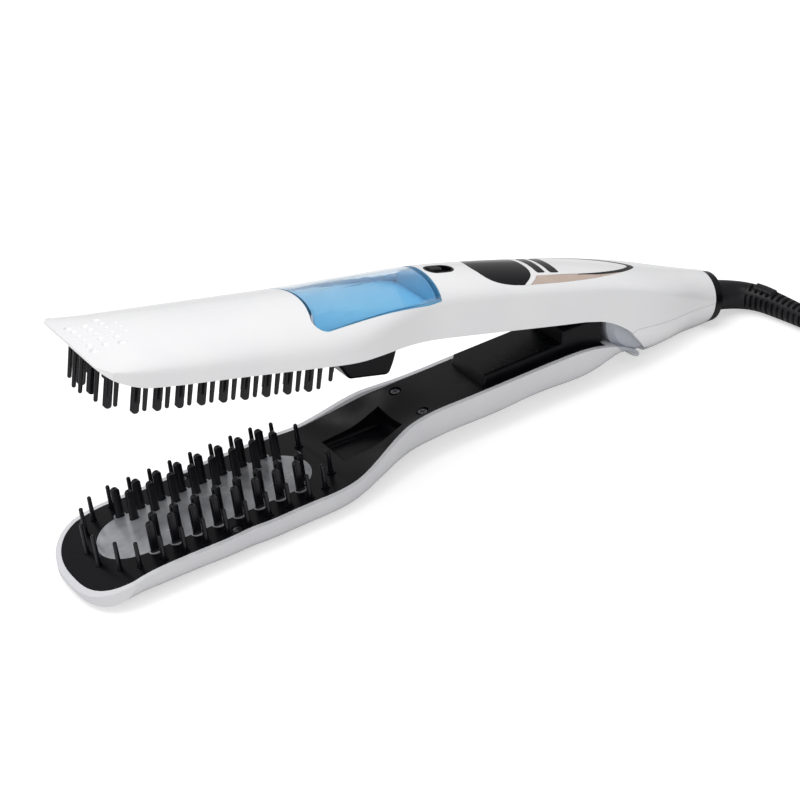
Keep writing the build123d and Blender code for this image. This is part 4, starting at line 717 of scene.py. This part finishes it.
    def cord(self) -> bpy.types.Object:
        """The whole cord from the boot's tip through the coil to the plug, as one spline.

        Returns:
            The cord, standing for its three solids.
        """
        route = np.vstack([np.array(self.lead_route), self.coil(), np.array(self.tail_route)])
        piece = self.spline("mains_cord", route, self.diameter / 2)
        piece.data.materials.append(SOFT_PVC.material())
        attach(piece, Body.CORD.value)
        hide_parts("cord_lead", "cord_coil", "cord_tail")
        return piece

    def build(self) -> None:
        """Lay the cord, fit its boot and dress the plug."""
        self.cord()
        self.boot()
        dress(SOFT_PVC, "plug_body")
        dress(ZINC_STEEL, "plug_pins")


@dataclass
class Studio:
    """The white sweep, its soft lamps and the camera at the photograph's place."""

    camera_place: tuple[float, float, float] = (-0.378951, -0.756973, 0.512486)
    camera_turn: tuple[float, float, float] = (59.6116, 7.7736, -30.9891)
    lens: float = 108.0
    sensor: float = 36.0
    floor_half: float = 8.0
    ambient: float = 0.58
    gloss_level: float = 0.4
    floor_lift: float = 0.5
    key_power: float = 5.2
    key_place: tuple[float, float, float] = (-0.15, 0.1, 0.95)
    key_turn: tuple[float, float, float] = (-6.0, -8.0, 0.0)
    key_size: float = 0.9
    side_power: float = 1.6
    side_place: tuple[float, float, float] = (-0.75, -0.75, 0.45)
    side_turn: tuple[float, float, float] = (62.0, 0.0, -45.0)
    side_size: float = 0.6
    paper: str = "#DEDEDE"
    paper_roughness: float = 0.9
    near_clip: float = 0.05
    far_clip: float = 50.0

    def camera(self) -> None:
        """Set up the camera and make it the scene's own."""
        data = bpy.data.cameras.new("camera")
        data.lens = self.lens
        data.sensor_width = self.sensor
        data.clip_start = self.near_clip
        data.clip_end = self.far_clip
        piece = bpy.data.objects.new("camera", data)
        piece.location = self.camera_place
        piece.rotation_euler = [math.radians(angle) for angle in self.camera_turn]
        bpy.context.scene.collection.objects.link(piece)
        bpy.context.scene.camera = piece

    def floor(self) -> None:
        """The floor: matt pale paper that the eye sees lifted to white, also through clear plastic."""
        half = self.floor_half
        mesh = bpy.data.meshes.new("sweep")
        mesh.from_pydata([(-half, -half, 0), (half, -half, 0), (half, half, 0), (-half, half, 0)], [],
                         [(0, 1, 2, 3)])
        material = bpy.data.materials.new("white_paper")
        material.use_nodes = True
        tree = material.node_tree
        shader = tree.nodes["Principled BSDF"]
        shader.inputs["Base Color"].default_value = linear(self.paper)
        shader.inputs["Roughness"].default_value = self.paper_roughness
        rays = add_node(tree, "ShaderNodeLightPath")
        seen = add_node(tree, "ShaderNodeMath", {"operation": "MAXIMUM"},
                        {0: rays.outputs["Is Camera Ray"], 1: rays.outputs["Is Transmission Ray"]})
        lift = add_node(tree, "ShaderNodeMath", {"operation": "MULTIPLY"}, {0: seen.outputs["Value"]})
        lift.inputs[1].default_value = self.floor_lift
        glow = add_node(tree, "ShaderNodeEmission", links={"Strength": lift.outputs["Value"]})
        total = add_node(tree, "ShaderNodeAddShader", links={0: shader.outputs["BSDF"],
                                                             1: glow.outputs["Emission"]})
        tree.links.new(total.outputs["Shader"], tree.nodes["Material Output"].inputs["Surface"])
        mesh.materials.append(material)
        piece = bpy.data.objects.new("sweep", mesh)
        bpy.context.scene.collection.objects.link(piece)

    def sky(self) -> None:
        """The world: soft even light, white to the eye and through clear plastic, dimmer in gloss."""
        world = bpy.data.worlds.new("studio")
        bpy.context.scene.world = world
        world.use_nodes = True
        tree = world.node_tree
        lamp = tree.nodes["Background"]
        lamp.inputs["Color"].default_value = linear("#FFFFFF")
        rays = add_node(tree, "ShaderNodeLightPath")
        seen = add_node(tree, "ShaderNodeMath", {"operation": "MAXIMUM"},
                        {0: rays.outputs["Is Camera Ray"], 1: rays.outputs["Is Transmission Ray"]})
        soft = add_node(tree, "ShaderNodeMapRange", {"To Min": self.ambient, "To Max": self.gloss_level},
                        {"Value": rays.outputs["Is Glossy Ray"]})
        level = add_node(tree, "ShaderNodeMapRange", {"To Max": 1.0},
                         {"Value": seen.outputs["Value"], "To Min": soft.outputs["Result"]})
        tree.links.new(level.outputs["Result"], lamp.inputs["Strength"])

    def lamp(self, name: str, place: tuple[float, float, float], turn: tuple[float, float, float],
             size: float, power: float) -> None:
        """Hang one square soft lamp.

        Args:
            name: The lamp's name.
            place: Where it hangs, in metres.
            turn: Its turn about X, Y and Z in degrees, from pointing straight down.
            size: Its side in metres.
            power: Its power in watts.
        """
        data = bpy.data.lights.new(name, "AREA")
        data.size = size
        data.energy = power
        piece = bpy.data.objects.new(name, data)
        piece.location = place
        piece.rotation_euler = [math.radians(angle) for angle in turn]
        bpy.context.scene.collection.objects.link(piece)

    def build(self) -> None:
        """Lay the sweep and set the lamps and the camera."""
        bpy.context.scene.view_settings.view_transform = "Standard"
        self.floor()
        self.sky()
        self.lamp("top_softbox", self.key_place, self.key_turn, self.key_size, self.key_power)
        self.lamp("left_softbox", self.side_place, self.side_turn, self.side_size, self.side_power)
        self.camera()


def main() -> None:
    """Build every sub-assembly in order."""
    logging.basicConfig(level=logging.INFO, format="%(name)s %(message)s")
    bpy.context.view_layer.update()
    for assembly in (Studio(), SwivelCord(), CombArms(), Tank(), Controls()):
        assembly.build()
        LOG.info("%s built", type(assembly).__name__)


if __name__ == "__main__":
    main()
